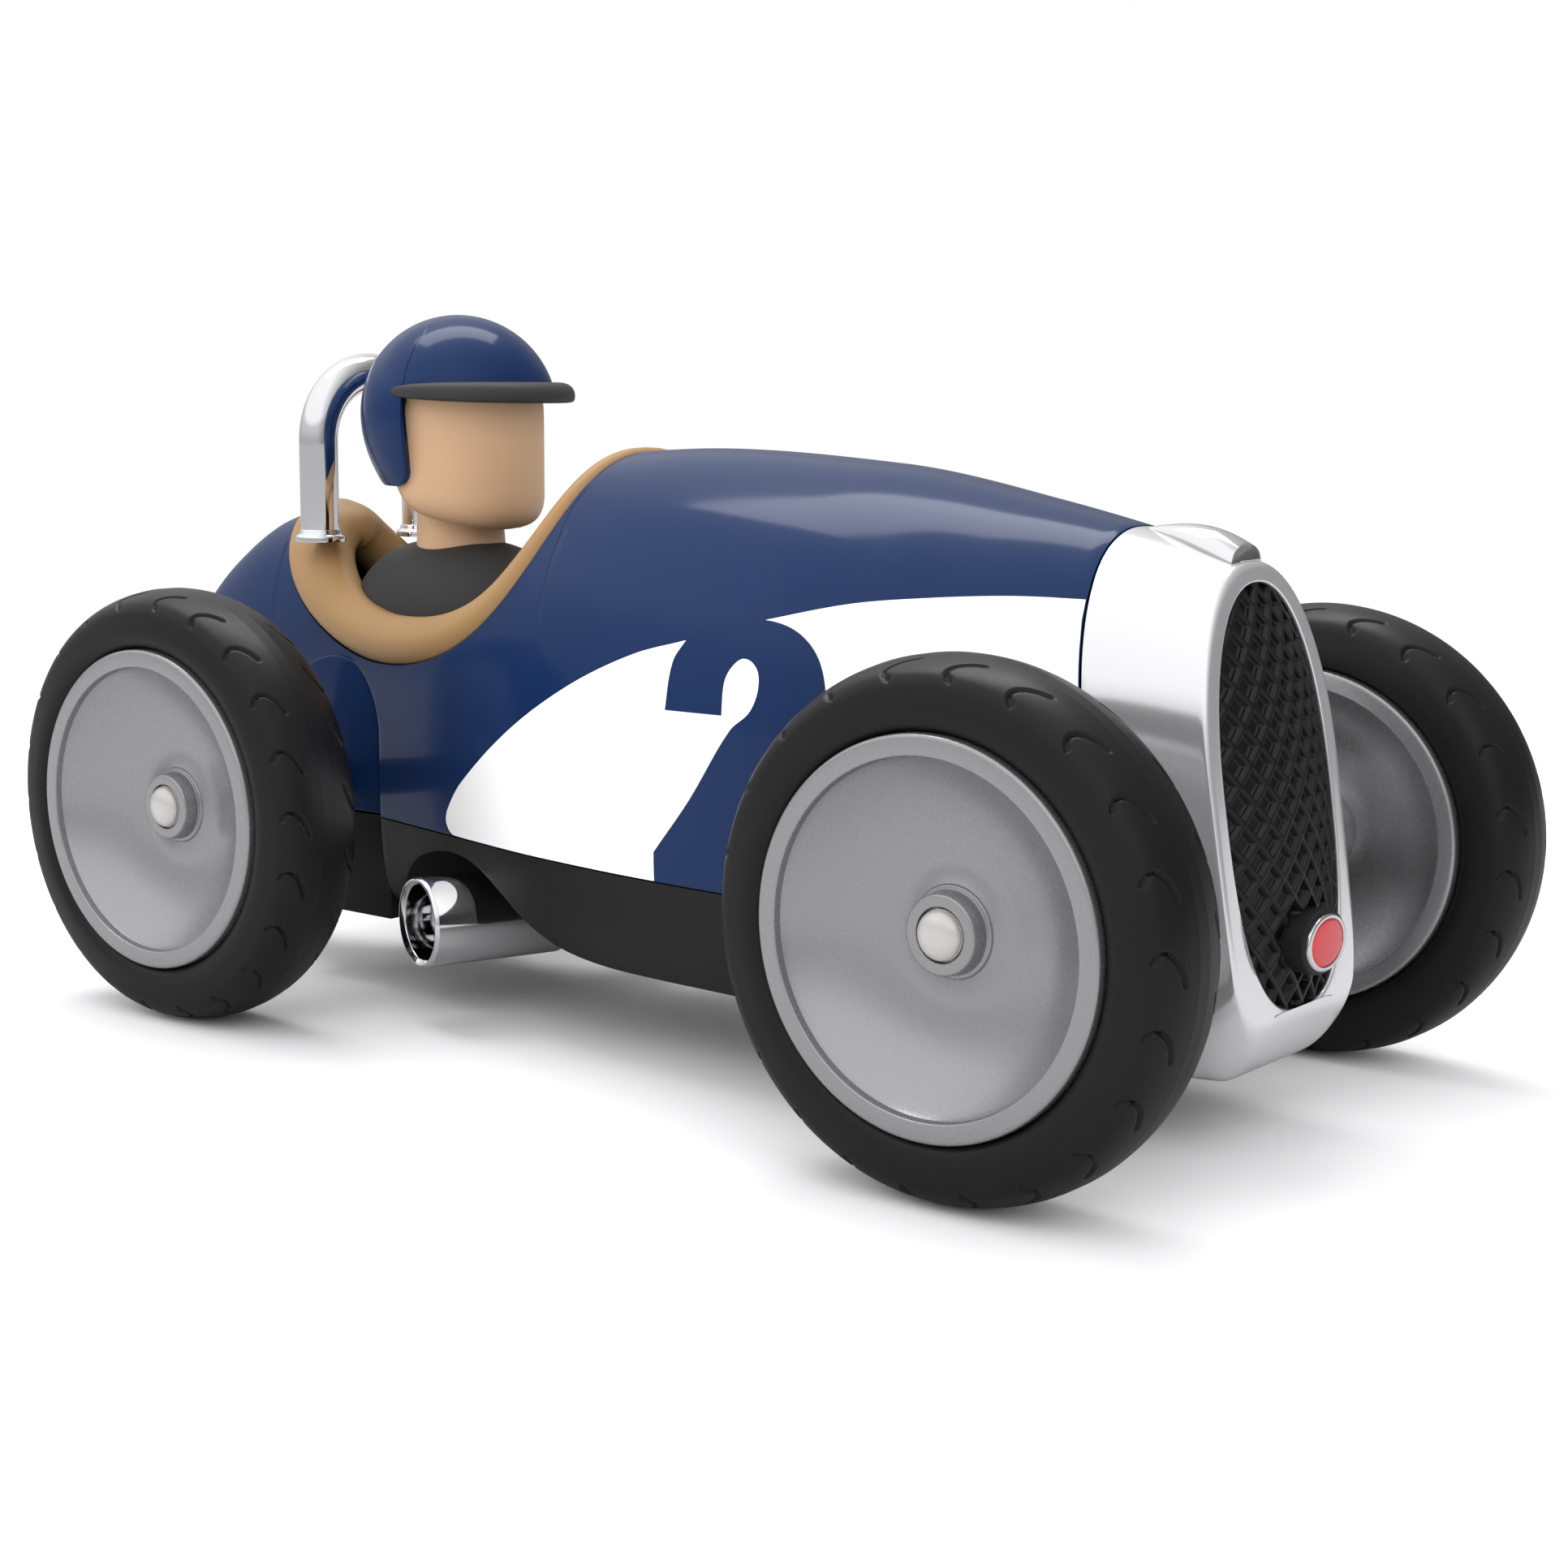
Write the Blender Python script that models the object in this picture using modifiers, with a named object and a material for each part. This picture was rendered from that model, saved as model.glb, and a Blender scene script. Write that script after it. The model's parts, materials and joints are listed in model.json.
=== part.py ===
"""Push-along toy racing car with a fixed driver figure, four free-turning wheels and a two-piece body.

Metres, +X to the nose, +Y to the driver's left, +Z up. The origin is on the floor under the middle.
"""

import math

import bmesh
import bpy
from mathutils import Matrix, Vector

# ---- Driving dimensions -------------------------------------------------------------------------

WHEELBASE = 0.174
TRACK = 0.1135
WHEEL_DIAMETER = 0.080
TYRE_WIDTH = 0.019
AXLE_DIAMETER = 0.004

TAIL_OVERHANG = 0.076
NOSE_OVERHANG = 0.030
BODY_WIDTH = 0.0744
HOOD_HEIGHT = 0.1062
WAIST_HEIGHT = 0.056
PARTING_HEIGHT = 0.0344
UNDERSIDE_HEIGHT = 0.0132
SHELL_WALL = 0.002
FLOOR_WALL = 0.0024

FIT_GAP = 0.0003
RUNNING_GAP = 0.0001

# ---- Body form: outlines as shares, so that they stretch with the driving dimensions ---------------

BODY_PLAN = (
    (0.0, 0.03), (0.043, 0.14), (0.10, 0.253), (0.186, 0.382), (0.271, 0.495), (0.414, 0.731),
    (0.514, 0.892), (0.614, 0.978), (0.686, 1.0), (0.757, 0.957), (0.814, 0.86), (0.886, 0.688),
    (0.957, 0.57), (1.0, 0.527),
)
BODY_CROWN = (
    (0.0, 0.43), (0.04, 0.615), (0.10, 0.765), (0.16, 0.849), (0.24, 0.893), (0.33, 0.94),
    (0.44, 0.977), (0.57, 1.0), (0.70, 0.983), (0.81, 0.936), (0.93, 0.866), (1.0, 0.81),
)
BODY_KEEL = (
    (0.0, 0.72), (0.043, 0.364), (0.10, 0.178), (0.186, 0.065), (0.271, 0.028), (0.414, 0.0),
    (0.88, 0.0), (0.94, -0.045), (0.96, -0.04), (0.985, 0.10), (1.0, 0.35),
)
CROWN_POWER = 2.2
KEEL_POWER = 5.0
KEEL_FLAT = 0.0006
WAIST_SHARE = 0.62
NOSE_RAKE = 0.158
RAKE_FROM = 0.52
SEAM_AHEAD = 0.003928
GRILLE_AHEAD = 0.0208
CHASSIS_TAIL = 0.05
HOLLOW_FROM = 0.055
STATION_LENGTH = 0.014
TRIM = 0.002
UPPER_STEPS = 8
LOWER_STEPS = 6
NOSE_STEPS = 13

# ---- Cockpit ------------------------------------------------------------------------------------

COCKPIT_FROM = 0.178
COCKPIT_LOWEST = 0.325
COCKPIT_TO = 0.505
COCKPIT_LOW_HEIGHT = 0.0643
RIM_HALF_WIDTHS = ((0.0, 0.0084), (0.25, 0.0072), (0.45, 0.0056), (0.7, 0.0030), (1.0, 0.0018))
RIM_HALF_HEIGHTS = ((0.0, 0.0044), (0.45, 0.0042), (0.7, 0.0025), (1.0, 0.0018))
RIM_ROLL = math.radians(28)
RIM_SEAT_SHARE = 0.0174731
TRAY_HEIGHT = 0.060
TRAY_WALL = 0.002
TRAY_GAP = 0.0012
TRAY_FROM = 0.20
FIREWALL_BEHIND_HOOD_EDGE = 0.0035

# ---- Driver, roll hoop --------------------------------------------------------------------------

DRIVER_AT = 0.3264
TORSO_LENGTH = 0.049
TORSO_WIDTH = 0.0266
TORSO_TOP_HEIGHT = 0.0866
TORSO_POWER = 2.6
NECK_RADIUS = 0.0086
NECK_SEAT_HEIGHT = 0.0853
HEAD_RADIUS = 0.0164
HEAD_CENTRE_HEIGHT = 0.1116
CHIN_HEIGHT = 0.0896
JAW_SLOPE = 0.29
CHIN_ROUND = 0.007
HELMET_WALL = 0.0024
HELMET_SKIRT_HEIGHT = 0.0984
FACE_OPENING_AHEAD = 0.0034
VISOR_HEIGHT = 0.1160
VISOR_THICKNESS = 0.0036
VISOR_REACH = 0.0032
HOOP_BEHIND_DRIVER = 0.0258
HOOP_RADIUS = 0.0136
HOOP_TUBE = 0.0076
HOOP_TOP_HEIGHT = 0.1196
HOOP_SEAT_ABOVE_EDGE = 0.015655
FOOT_FLANGE = 0.0013
FOOT_HEIGHT = 0.0016

# ---- Wheels, exhausts, nose, fasteners -------------------------------------------------------------

DISC_RADIUS = 0.0294
DISC_LIP = 0.0030
DISC_PROUD = 0.0005
HUB_RADIUS = 0.0064
BOSS_RADIUS = 0.0058
BOSS_RECESS = 0.0048
BUSH_WALL = 0.0009
CAP_RADIUS = 0.00384
CAP_DOME = 0.0018
CAP_DEPTH = 0.0011
SPACER_WALL = 0.0013
PAD_HALF_WIDTH = 0.0144
PAD_TOP_HEIGHT = 0.0648
PAD_DEPTH = 0.0035
PAD_STAND = 0.0004
PAD_LAP = 0.0006
CRADLE_HALF_LENGTH = 0.006
CRADLE_WALL = 0.0036

EXHAUST_RADIUS = 0.0084
EXHAUST_WALL = 0.0016
EXHAUST_HEIGHT = 0.0194
EXHAUST_AHEAD = 0.0392
EXHAUST_OUT = 0.036
EXHAUST_LENGTH = 0.0283
EXHAUST_BORE = 0.012
EXHAUST_SWEEP = math.radians(26.0)
EXHAUST_PEG_RADIUS = 0.0022
EXHAUST_PEG_LENGTH = 0.0070
ARCH_INNER = 0.006
ARCH_SKIN = 0.030
ARCH_OUTLINE = (
    (-0.0270, -0.016), (-0.0265, 0.001), (-0.0195, 0.009), (-0.0055, 0.0118), (0.0065, 0.0095),
    (0.0165, 0.0035), (0.0250, -0.0020), (0.0370, -0.0052), (0.0470, -0.016),
)

OPENING_HALF_WIDTH = 0.0172
OPENING_TOP_HEIGHT = 0.0876
OPENING_BOTTOM_HEIGHT = 0.0222
OPENING_CROWN_POWER = 2.2
OPENING_KEEL_POWER = 2.8
NOSE_LIP = 0.0020
GRILLE_DEPTH = 0.0030
GRILLE_BULGE = 0.0050
BADGE_HEIGHT = 0.0328
BADGE_RADIUS = 0.0038
BADGE_WIDE = 1.40
BEZEL_WIDTH = 0.0007
BADGE_BASE_RADIUS = 0.0051
BADGE_BASE_THICKNESS = 0.0012
RIDGE_HALF_WIDTH = 0.0048
RIDGE_RISE = 0.0036
RIDGE_LENGTH = 0.0175

POST_RADIUS = 0.0034
BOSS_WALL = 0.0008
SCREW_RADIUS = 0.00125
SCREW_HEAD_RADIUS = 0.0026
SCREW_HEAD_HEIGHT = 0.0016
SCREW_SEAT = 0.0026
SCREW_BITE = 0.0075
REAR_SCREW_AT = 0.148
FRONT_SCREWS_AT = 0.735
FRONT_SCREW_SPREAD = 0.012
TONGUE_HALF_WIDTH = 0.008
TONGUE_THICKNESS = 0.0034
NOSE_SCREW_AHEAD = 0.0110

# ---- Worked out from the dimensions --------------------------------------------------------------

WHEEL_RADIUS = WHEEL_DIAMETER / 2
AXLE_RADIUS = AXLE_DIAMETER / 2
AXLE_HEIGHT = WHEEL_RADIUS
RIM_SEAT_GAP = RIM_SEAT_SHARE * BODY_WIDTH
REAR_X = (TAIL_OVERHANG - WHEELBASE - WHEEL_RADIUS) / 2
FRONT_X = REAR_X + WHEELBASE
TAIL_X = REAR_X - TAIL_OVERHANG
BODY_LENGTH = TAIL_OVERHANG + WHEELBASE + NOSE_OVERHANG
SEAM_X = FRONT_X + SEAM_AHEAD - NOSE_RAKE * (WAIST_HEIGHT - AXLE_HEIGHT)
GRILLE_X = FRONT_X + GRILLE_AHEAD
WIDE = BODY_WIDTH
TALL = HOOD_HEIGHT * 1.5
TRACK_HALF = TRACK / 2
SIDES = {"right": -1, "left": 1}

# ---- Scene and helpers ---------------------------------------------------------------------------


def clear_scene():
    for obj in list(bpy.data.objects):
        bpy.data.objects.remove(obj, do_unlink=True)


def new_collection(name):
    collection = bpy.data.collections.new(name)
    bpy.context.scene.collection.children.link(collection)
    return collection


clear_scene()
CAR = new_collection("push_car")
CUTTERS = new_collection("cutters")


def finish(name, colour, roughness, metallic=0.0):
    material = bpy.data.materials.new(name)
    material.use_nodes = True
    shader = material.node_tree.nodes["Principled BSDF"]
    shader.inputs["Base Color"].default_value = (*colour, 1.0)
    shader.inputs["Roughness"].default_value = roughness
    shader.inputs["Metallic"].default_value = metallic
    return material


BLUE_GLOSS = finish("blue_gloss", (0.012, 0.040, 0.150), 0.15)
BLACK_SATIN = finish("black_satin", (0.028, 0.027, 0.028), 0.40)
BLACK_MATT = finish("black_matt", (0.012, 0.012, 0.013), 0.55)
SILVER_GLOSS = finish("silver_gloss", (0.80, 0.80, 0.82), 0.22, 0.35)
SILVER_PAINT = finish("silver_paint", (0.45, 0.45, 0.46), 0.35, 0.4)
CHROME = finish("chrome", (0.90, 0.90, 0.91), 0.05, 1.0)
TAN_SATIN = finish("tan_satin", (0.39, 0.23, 0.09), 0.45)
GREY_MATT = finish("grey_matt", (0.055, 0.055, 0.055), 0.6)
SKIN_MATT = finish("skin_matt", (0.52, 0.34, 0.20), 0.5)
RUBBER = finish("rubber", (0.018, 0.018, 0.019), 0.6)
STEEL = finish("steel", (0.55, 0.55, 0.56), 0.3, 1.0)
PEARL = finish("pearl", (0.75, 0.74, 0.72), 0.25, 0.3)
NYLON = finish("nylon", (0.80, 0.79, 0.75), 0.5)
RED_GLOSS = finish("red_gloss", (0.60, 0.06, 0.07), 0.2)


def place(name, data, material, cutter=False):
    """A new object: a part of the car, or a cutter that no render shows."""
    obj = bpy.data.objects.new(name, data)
    if cutter:
        CUTTERS.objects.link(obj)
        obj.hide_render = True
        obj.display_type = "WIRE"
    else:
        CAR.objects.link(obj)
        data.materials.append(material)
    return obj


def from_bmesh(name, bm, material=None, cutter=False):
    bmesh.ops.remove_doubles(bm, verts=bm.verts, dist=1e-6)
    bmesh.ops.dissolve_degenerate(bm, edges=bm.edges, dist=1e-7)
    bmesh.ops.recalc_face_normals(bm, faces=bm.faces)
    if bm.calc_volume(signed=True) < 0:
        bmesh.ops.reverse_faces(bm, faces=bm.faces)
    mesh = bpy.data.meshes.new(name)
    bm.to_mesh(mesh)
    bm.free()
    mesh.shade_smooth()
    mesh.set_sharp_from_angle(angle=math.radians(35))
    return place(name, mesh, material, cutter)


def loft(name, rings, material=None, cutter=False, closed=False):
    """A skin over sections with the same number of points, capped at both ends or closed on itself."""
    bm = bmesh.new()
    rows = [[bm.verts.new(point) for point in ring] for ring in rings]
    pairs = list(zip(rows, rows[1:]))
    if closed:
        pairs.append((rows[-1], rows[0]))
    for near, far in pairs:
        for i in range(len(near)):
            j = (i + 1) % len(near)
            bm.faces.new((near[i], near[j], far[j], far[i]))
    if not closed:
        bm.faces.new(rows[0])
        bm.faces.new(reversed(rows[-1]))
    return from_bmesh(name, bm, material, cutter)


def turned(name, profile, location, towards, material=None, steps=24, cutter=False):
    """A solid turned from (radius, height) points that run top to bottom down its outer side."""
    mesh = bpy.data.meshes.new(name)
    count = len(profile)
    on_axis = max(profile[0][0], profile[-1][0]) < 1e-6
    edges = [(i, i + 1) for i in range(count - 1)]
    if not on_axis:
        edges.append((count - 1, 0))
    mesh.from_pydata([(radius, 0, height) for radius, height in profile], edges, [])
    obj = place(name, mesh, material, cutter)
    obj.location = location
    obj.rotation_euler = Vector(towards).to_track_quat("Z", "Y").to_euler()
    screw = obj.modifiers.new("turn", "SCREW")
    screw.axis = "Z"
    screw.steps = steps
    screw.render_steps = steps
    screw.use_merge_vertices = True
    screw.merge_threshold = 0.00001
    screw.use_smooth_shade = True
    return obj


def rod(radius, low, high):
    """The profile of a plain cylinder."""
    return ((0, high), (radius, high), (radius, low), (0, low))


def box(name, low, high, material=None, cutter=False):
    bm = bmesh.new()
    bmesh.ops.create_cube(bm, size=1.0)
    size = Vector(high) - Vector(low)
    bmesh.ops.scale(bm, vec=size, verts=bm.verts)
    bmesh.ops.translate(bm, vec=(Vector(high) + Vector(low)) / 2, verts=bm.verts)
    return from_bmesh(name, bm, material, cutter)


# The default solver turns these long thin lofts inside out on their left-hand cuts.
MANIFOLD_SOLVED = ("body_shell", "body_cavity", "chassis_pan", "chassis_cavity")


def join(obj, other, operation):
    modifier = obj.modifiers.new(f"{operation.lower()}_{other.name}", "BOOLEAN")
    modifier.operation = operation
    modifier.object = other
    modifier.solver = "MANIFOLD" if obj.name in MANIFOLD_SOLVED else "EXACT"


def cut(obj, *others):
    for other in others:
        join(obj, other, "DIFFERENCE")


def add(obj, *others):
    for other in others:
        join(obj, other, "UNION")


def cut_by_plane(obj, point, normal):
    """Takes off what lies on the normal's side of a plane, and closes the cut."""
    bm = bmesh.new()
    bm.from_mesh(obj.data)
    geometry = list(bm.verts) + list(bm.edges) + list(bm.faces)
    result = bmesh.ops.bisect_plane(
        bm, geom=geometry, plane_co=point, plane_no=normal, clear_outer=True
    )
    edges = [item for item in result["geom_cut"] if isinstance(item, bmesh.types.BMEdge)]
    bmesh.ops.contextual_create(bm, geom=edges)
    bmesh.ops.recalc_face_normals(bm, faces=bm.faces)
    bm.to_mesh(obj.data)
    bm.free()


def made_mesh(obj):
    """The object with its modifiers made real and its place put into its mesh."""
    graph = bpy.context.evaluated_depsgraph_get()
    mesh = bpy.data.meshes.new_from_object(obj.evaluated_get(graph))
    mesh.transform(obj.matrix_world)
    obj.modifiers.clear()
    obj.data = mesh
    obj.location = (0, 0, 0)
    obj.rotation_euler = (0, 0, 0)


def curve(points):
    """A smooth curve through an outline's points that doesn't overshoot them."""
    steps = [(b[1] - a[1]) / (b[0] - a[0]) for a, b in zip(points, points[1:])]
    slopes = [steps[0]]
    for before, after in zip(steps, steps[1:]):
        same_way = before * after > 0
        slopes.append(2 * before * after / (before + after) if same_way else 0.0)
    slopes.append(steps[-1])

    def height(x):
        i = max(k for k in range(len(points) - 1) if k == 0 or points[k][0] <= x)
        width = points[i + 1][0] - points[i][0]
        t = min(max((x - points[i][0]) / width, 0.0), 1.0)
        start = (1 + 2 * t) * (1 - t) ** 2 * points[i][1] + t * (1 - t) ** 2 * width * slopes[i]
        end = t * t * (3 - 2 * t) * points[i + 1][1] - t * t * (1 - t) * width * slopes[i + 1]
        return start + end

    return height


def spread(low, high, count):
    return [low + (high - low) * i / count for i in range(count + 1)]


def mirrored(point):
    return Vector((point[0], -point[1], point[2]))


# ---- The body's form -----------------------------------------------------------------------------

plan = curve(BODY_PLAN)
crown = curve(BODY_CROWN)
keel = curve(BODY_KEEL)


def station(share):
    """The place along the car at a share of the body's length from its tail."""
    return TAIL_X + share * BODY_LENGTH


def section(x, inset=0.0):
    """Half-width, crown, keel and waist of the body at x, drawn in by a wall."""
    share = (x - TAIL_X) / BODY_LENGTH
    half = BODY_WIDTH / 2 * plan(share) - inset
    top = HOOD_HEIGHT * crown(share) - inset
    bottom = UNDERSIDE_HEIGHT + (WAIST_HEIGHT - UNDERSIDE_HEIGHT) * keel(share) + inset
    waist = min(WAIST_HEIGHT, bottom + WAIST_SHARE * (top - bottom))
    return half, top, bottom, waist


def lean(x):
    """How far the sections lean back: upright behind the hood's middle, raked from the seam forward."""
    start = station(RAKE_FROM)
    t = min(max((x - start) / (SEAM_X - start), 0.0), 1.0)
    return NOSE_RAKE * t * t * (3 - 2 * t)


def leaned(x, z):
    return x + lean(x) * (WAIST_HEIGHT - z)


def half_width(x, z, inset=0.0):
    half, top, bottom, waist = section(x, inset)
    if z >= waist:
        share, power = (z - waist) / (top - waist), CROWN_POWER
    else:
        share, power = (waist - z) / (waist - bottom + KEEL_FLAT), KEEL_POWER
    return half * (1 - min(share, 1.0) ** power) ** (1 / power)


def skin_point(x, angle, inset=0.0):
    """A point of the right-hand skin: angle -90 degrees is the keel, 0 the waist, 90 degrees the crown."""
    z = WAIST_HEIGHT
    for _ in range(8):
        along = leaned(x, z)
        half, top, bottom, waist = section(along, inset)
        power = CROWN_POWER if angle >= 0 else KEEL_POWER
        reach = top - waist if angle >= 0 else waist - bottom + KEEL_FLAT
        z = waist + math.copysign(reach * abs(math.sin(angle)) ** (2 / power), angle)
    side = half * max(math.cos(angle), 0.0) ** (2 / power)
    return Vector((along, -side, max(z, bottom)))


def angle_at(x, z, inset=0.0):
    """The skin angle at a height below the waist."""
    _, _, bottom, waist = section(leaned(x, z), inset)
    share = (waist - z) / (waist - bottom + KEEL_FLAT)
    if z <= bottom:
        return -math.pi / 2
    return -math.asin(max(share, 0.0) ** (KEEL_POWER / 2))


def upper_ring(x, from_z, inset=0.0):
    angles = spread(angle_at(x, from_z, inset), math.pi / 2, UPPER_STEPS)
    right = [skin_point(x, angle, inset) for angle in angles]
    return right + [mirrored(point) for point in reversed(right[:-1])]


def lower_ring(x, to_z, inset=0.0):
    angles = spread(angle_at(x, to_z, inset), -math.pi / 2, LOWER_STEPS)
    right = [skin_point(x, angle, inset) for angle in angles]
    return right + [mirrored(point) for point in reversed(right[:-1])]


def full_ring(x, inset=0.0):
    angles = spread(-math.pi / 2, math.pi / 2, NOSE_STEPS)
    right = [skin_point(x, angle, inset) for angle in angles]
    return right + [mirrored(point) for point in reversed(right[1:-1])]


def stations(low, high):
    count = max(3, round((high - low) / STATION_LENGTH))
    return spread(low, high, count)


def arch(x, half, top, bottom, low_y, high_y, name):
    """A round-topped block across the car."""
    outline = [(x - half, bottom), (x + half, bottom)]
    for angle in spread(0, math.pi, 8):
        outline.append((x + half * math.cos(angle), top - half + half * math.sin(angle)))
    rings = [[(px, y, pz) for px, pz in outline] for y in (low_y, high_y)]
    return loft(name, rings, cutter=True)


# ---- Cockpit edge --------------------------------------------------------------------------------


def cockpit_edge(angle):
    """The cut edge in side view: two quarter ellipses that meet at the opening's lowest point."""
    rear, lowest, front = (station(s) for s in (COCKPIT_FROM, COCKPIT_LOWEST, COCKPIT_TO))
    span = lowest - rear if angle < 0 else front - lowest
    x = lowest + span * math.sin(angle)
    _, top, _, _ = section(x)
    return x, COCKPIT_LOW_HEIGHT + (top - COCKPIT_LOW_HEIGHT) * (1 - math.cos(angle))


def rear_edge_height(x):
    """Height of the cut edge behind its lowest point."""
    rear, lowest = station(COCKPIT_FROM), station(COCKPIT_LOWEST)
    return cockpit_edge(math.asin((x - lowest) / (lowest - rear)))[1]


def edge_point(angle):
    x, z = cockpit_edge(angle)
    return Vector((x, -half_width(x, z), z))


def evenly(points, count):
    """The same line in equal steps."""
    lengths = [0.0]
    for a, b in zip(points, points[1:]):
        lengths.append(lengths[-1] + (b - a).length)
    found = []
    for target in spread(0, lengths[-1], count):
        i = max(k for k in range(len(points) - 1) if lengths[k] <= target)
        t = (target - lengths[i]) / (lengths[i + 1] - lengths[i])
        found.append(points[i].lerp(points[i + 1], min(t, 1.0)))
    return found


def form_level(point):
    """Below 1 inside the body's form, above 1 outside it."""
    half, top, bottom, waist = section(point.x)
    if point.z >= waist:
        reach, power = top - waist, CROWN_POWER
    else:
        reach, power = waist - bottom, KEEL_POWER
    return (abs(point.y) / half) ** power + (abs(point.z - waist) / reach) ** power


def skin_normal(point):
    step = 0.0002
    slopes = []
    for axis in range(3):
        shift = Vector((0, 0, 0))
        shift[axis] = step
        slopes.append(form_level(point + shift) - form_level(point - shift))
    return Vector(slopes).normalized()


def rim_frames(count):
    """Centre, inward and upward directions and half-sizes of the rim's sections, from the rear centre
    round the right side to the front centre."""
    fine = [edge_point(angle) for angle in spread(-math.pi / 2, math.pi / 2, 240)]
    path = evenly(fine, count)
    widths = curve(RIM_HALF_WIDTHS)
    heights = curve(RIM_HALF_HEIGHTS)
    frames = []
    for i, point in enumerate(path):
        before = path[i - 1] if i else mirrored(path[1])
        after = path[i + 1] if i < count else mirrored(path[count - 1])
        tangent = (after - before).normalized()
        normal = skin_normal(point)
        normal = (normal - tangent * normal.dot(tangent)).normalized()
        inward = normal.cross(tangent)
        inward = inward * math.cos(RIM_ROLL) - normal * math.sin(RIM_ROLL)
        upward = tangent.cross(inward)
        half, high = widths(i / count), heights(i / count)
        frames.append((point + inward * (half + RIM_SEAT_GAP), inward, upward, half, high))
    return frames


def rim_rings(count=15, sides=10):
    right = []
    for centre, inward, upward, half, high in rim_frames(count):
        angles = spread(0, 2 * math.pi, sides)[:-1]
        right.append(
            [centre + inward * half * math.cos(a) + upward * high * math.sin(a) for a in angles]
        )
    left = [[mirrored(point) for point in ring] for ring in reversed(right[1:-1])]
    return right + left


# ---- Places shared by parts ------------------------------------------------------------------------

DRIVER_X = station(DRIVER_AT)
HOOP_X = DRIVER_X - HOOP_BEHIND_DRIVER
HOOP_SEAT_HEIGHT = rear_edge_height(HOOP_X) + HOOP_SEAT_ABOVE_EDGE
TORSO_BASE_HEIGHT = TRAY_HEIGHT + TRAY_WALL + FIT_GAP
PARTING_TOP = PARTING_HEIGHT + FIT_GAP / 2
PARTING_BOTTOM = PARTING_HEIGHT - FIT_GAP / 2
AXLES = {"rear": REAR_X, "front": FRONT_X}


def pad_plane(axle_x):
    """How far out an axle's spacers start: clear of the skin right round the spacer."""
    reach = AXLE_RADIUS + FIT_GAP + SPACER_WALL
    return max(half_width(axle_x + step, WAIST_HEIGHT) for step in (-reach, 0, reach)) + PAD_STAND


def body_screws():
    """Name and place of each screw that holds the body on the chassis."""
    front = station(FRONT_SCREWS_AT)
    return {
        "rear": (station(REAR_SCREW_AT), 0.0),
        "right": (front, -FRONT_SCREW_SPREAD),
        "left": (front, FRONT_SCREW_SPREAD),
    }


def floor_at(x):
    return section(x)[2]


def seat_at(x):
    """The face that a body screw's head bears on."""
    return floor_at(x) + SCREW_SEAT


# ---- Body shell ----------------------------------------------------------------------------------


def make_body_shell():
    places = stations(TAIL_X, SEAM_X - FIT_GAP / 2)
    shell = loft("body_shell", [upper_ring(x, PARTING_TOP - TRIM) for x in places], BLUE_GLOSS)
    hollow = [
        upper_ring(x, PARTING_TOP - 3 * TRIM, SHELL_WALL)
        for x in stations(station(HOLLOW_FROM), SEAM_X + SHELL_WALL)
    ]
    cavity = loft("body_cavity", hollow, cutter=True)
    for name, (x, y) in body_screws().items():
        post = rod(POST_RADIUS, 0, TALL)
        cut(cavity, turned(f"post_{name}", post, (x, y, 0), (0, 0, 1), steps=16, cutter=True))
    cut(shell, cavity)
    plane, bottom = pad_plane(REAR_X), PARTING_TOP - 2 * TRIM
    for side, sign in SIDES.items():
        near, far = sorted((sign * (plane - PAD_DEPTH), sign * plane))
        pad = arch(REAR_X, PAD_HALF_WIDTH, PAD_TOP_HEIGHT, bottom, near, far, f"pad_{side}")
        half, top = PAD_HALF_WIDTH - PAD_LAP, PAD_TOP_HEIGHT - PAD_LAP
        near, far = sorted((sign * (plane - PAD_LAP), sign * (plane + WIDE)))
        cut(shell, arch(REAR_X, half, top, 0.0, near, far, f"clear_{side}"))
        add(shell, pad)
    for name, x in AXLES.items():
        slot = AXLE_RADIUS + 2 * FIT_GAP
        cut(shell, arch(x, slot, AXLE_HEIGHT + slot, 0.0, -WIDE, WIDE, f"slot_{name}"))
    cut(shell, cockpit_cutter())
    for name, (x, y) in body_screws().items():
        bore = rod(SCREW_RADIUS + FIT_GAP, 0, PARTING_TOP + SCREW_BITE + FIT_GAP)
        cut(shell, turned(f"pilot_{name}", bore, (x, y, 0), (0, 0, 1), steps=12, cutter=True))
    low, high = (TAIL_X - TRIM, -WIDE, 0), (GRILLE_X, WIDE, PARTING_TOP)
    cut(shell, box("below_parting", low, high, cutter=True))


def cockpit_cutter():
    outline = [cockpit_edge(angle) for angle in spread(-math.pi / 2, math.pi / 2, 28)]
    outline += [(outline[-1][0], TALL), (outline[0][0], TALL)]
    rings = [[(x, y, z) for x, z in outline] for y in (-WIDE, WIDE)]
    return loft("cockpit_cutter", rings, cutter=True)


# ---- Chassis -------------------------------------------------------------------------------------


def exhaust_direction(sign):
    """Out of the mouth: outward and to the rear."""
    return Vector((-math.sin(EXHAUST_SWEEP), sign * math.cos(EXHAUST_SWEEP), 0))


def exhaust_mouth(sign):
    return Vector((REAR_X + EXHAUST_AHEAD, sign * EXHAUST_OUT, EXHAUST_HEIGHT))


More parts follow.
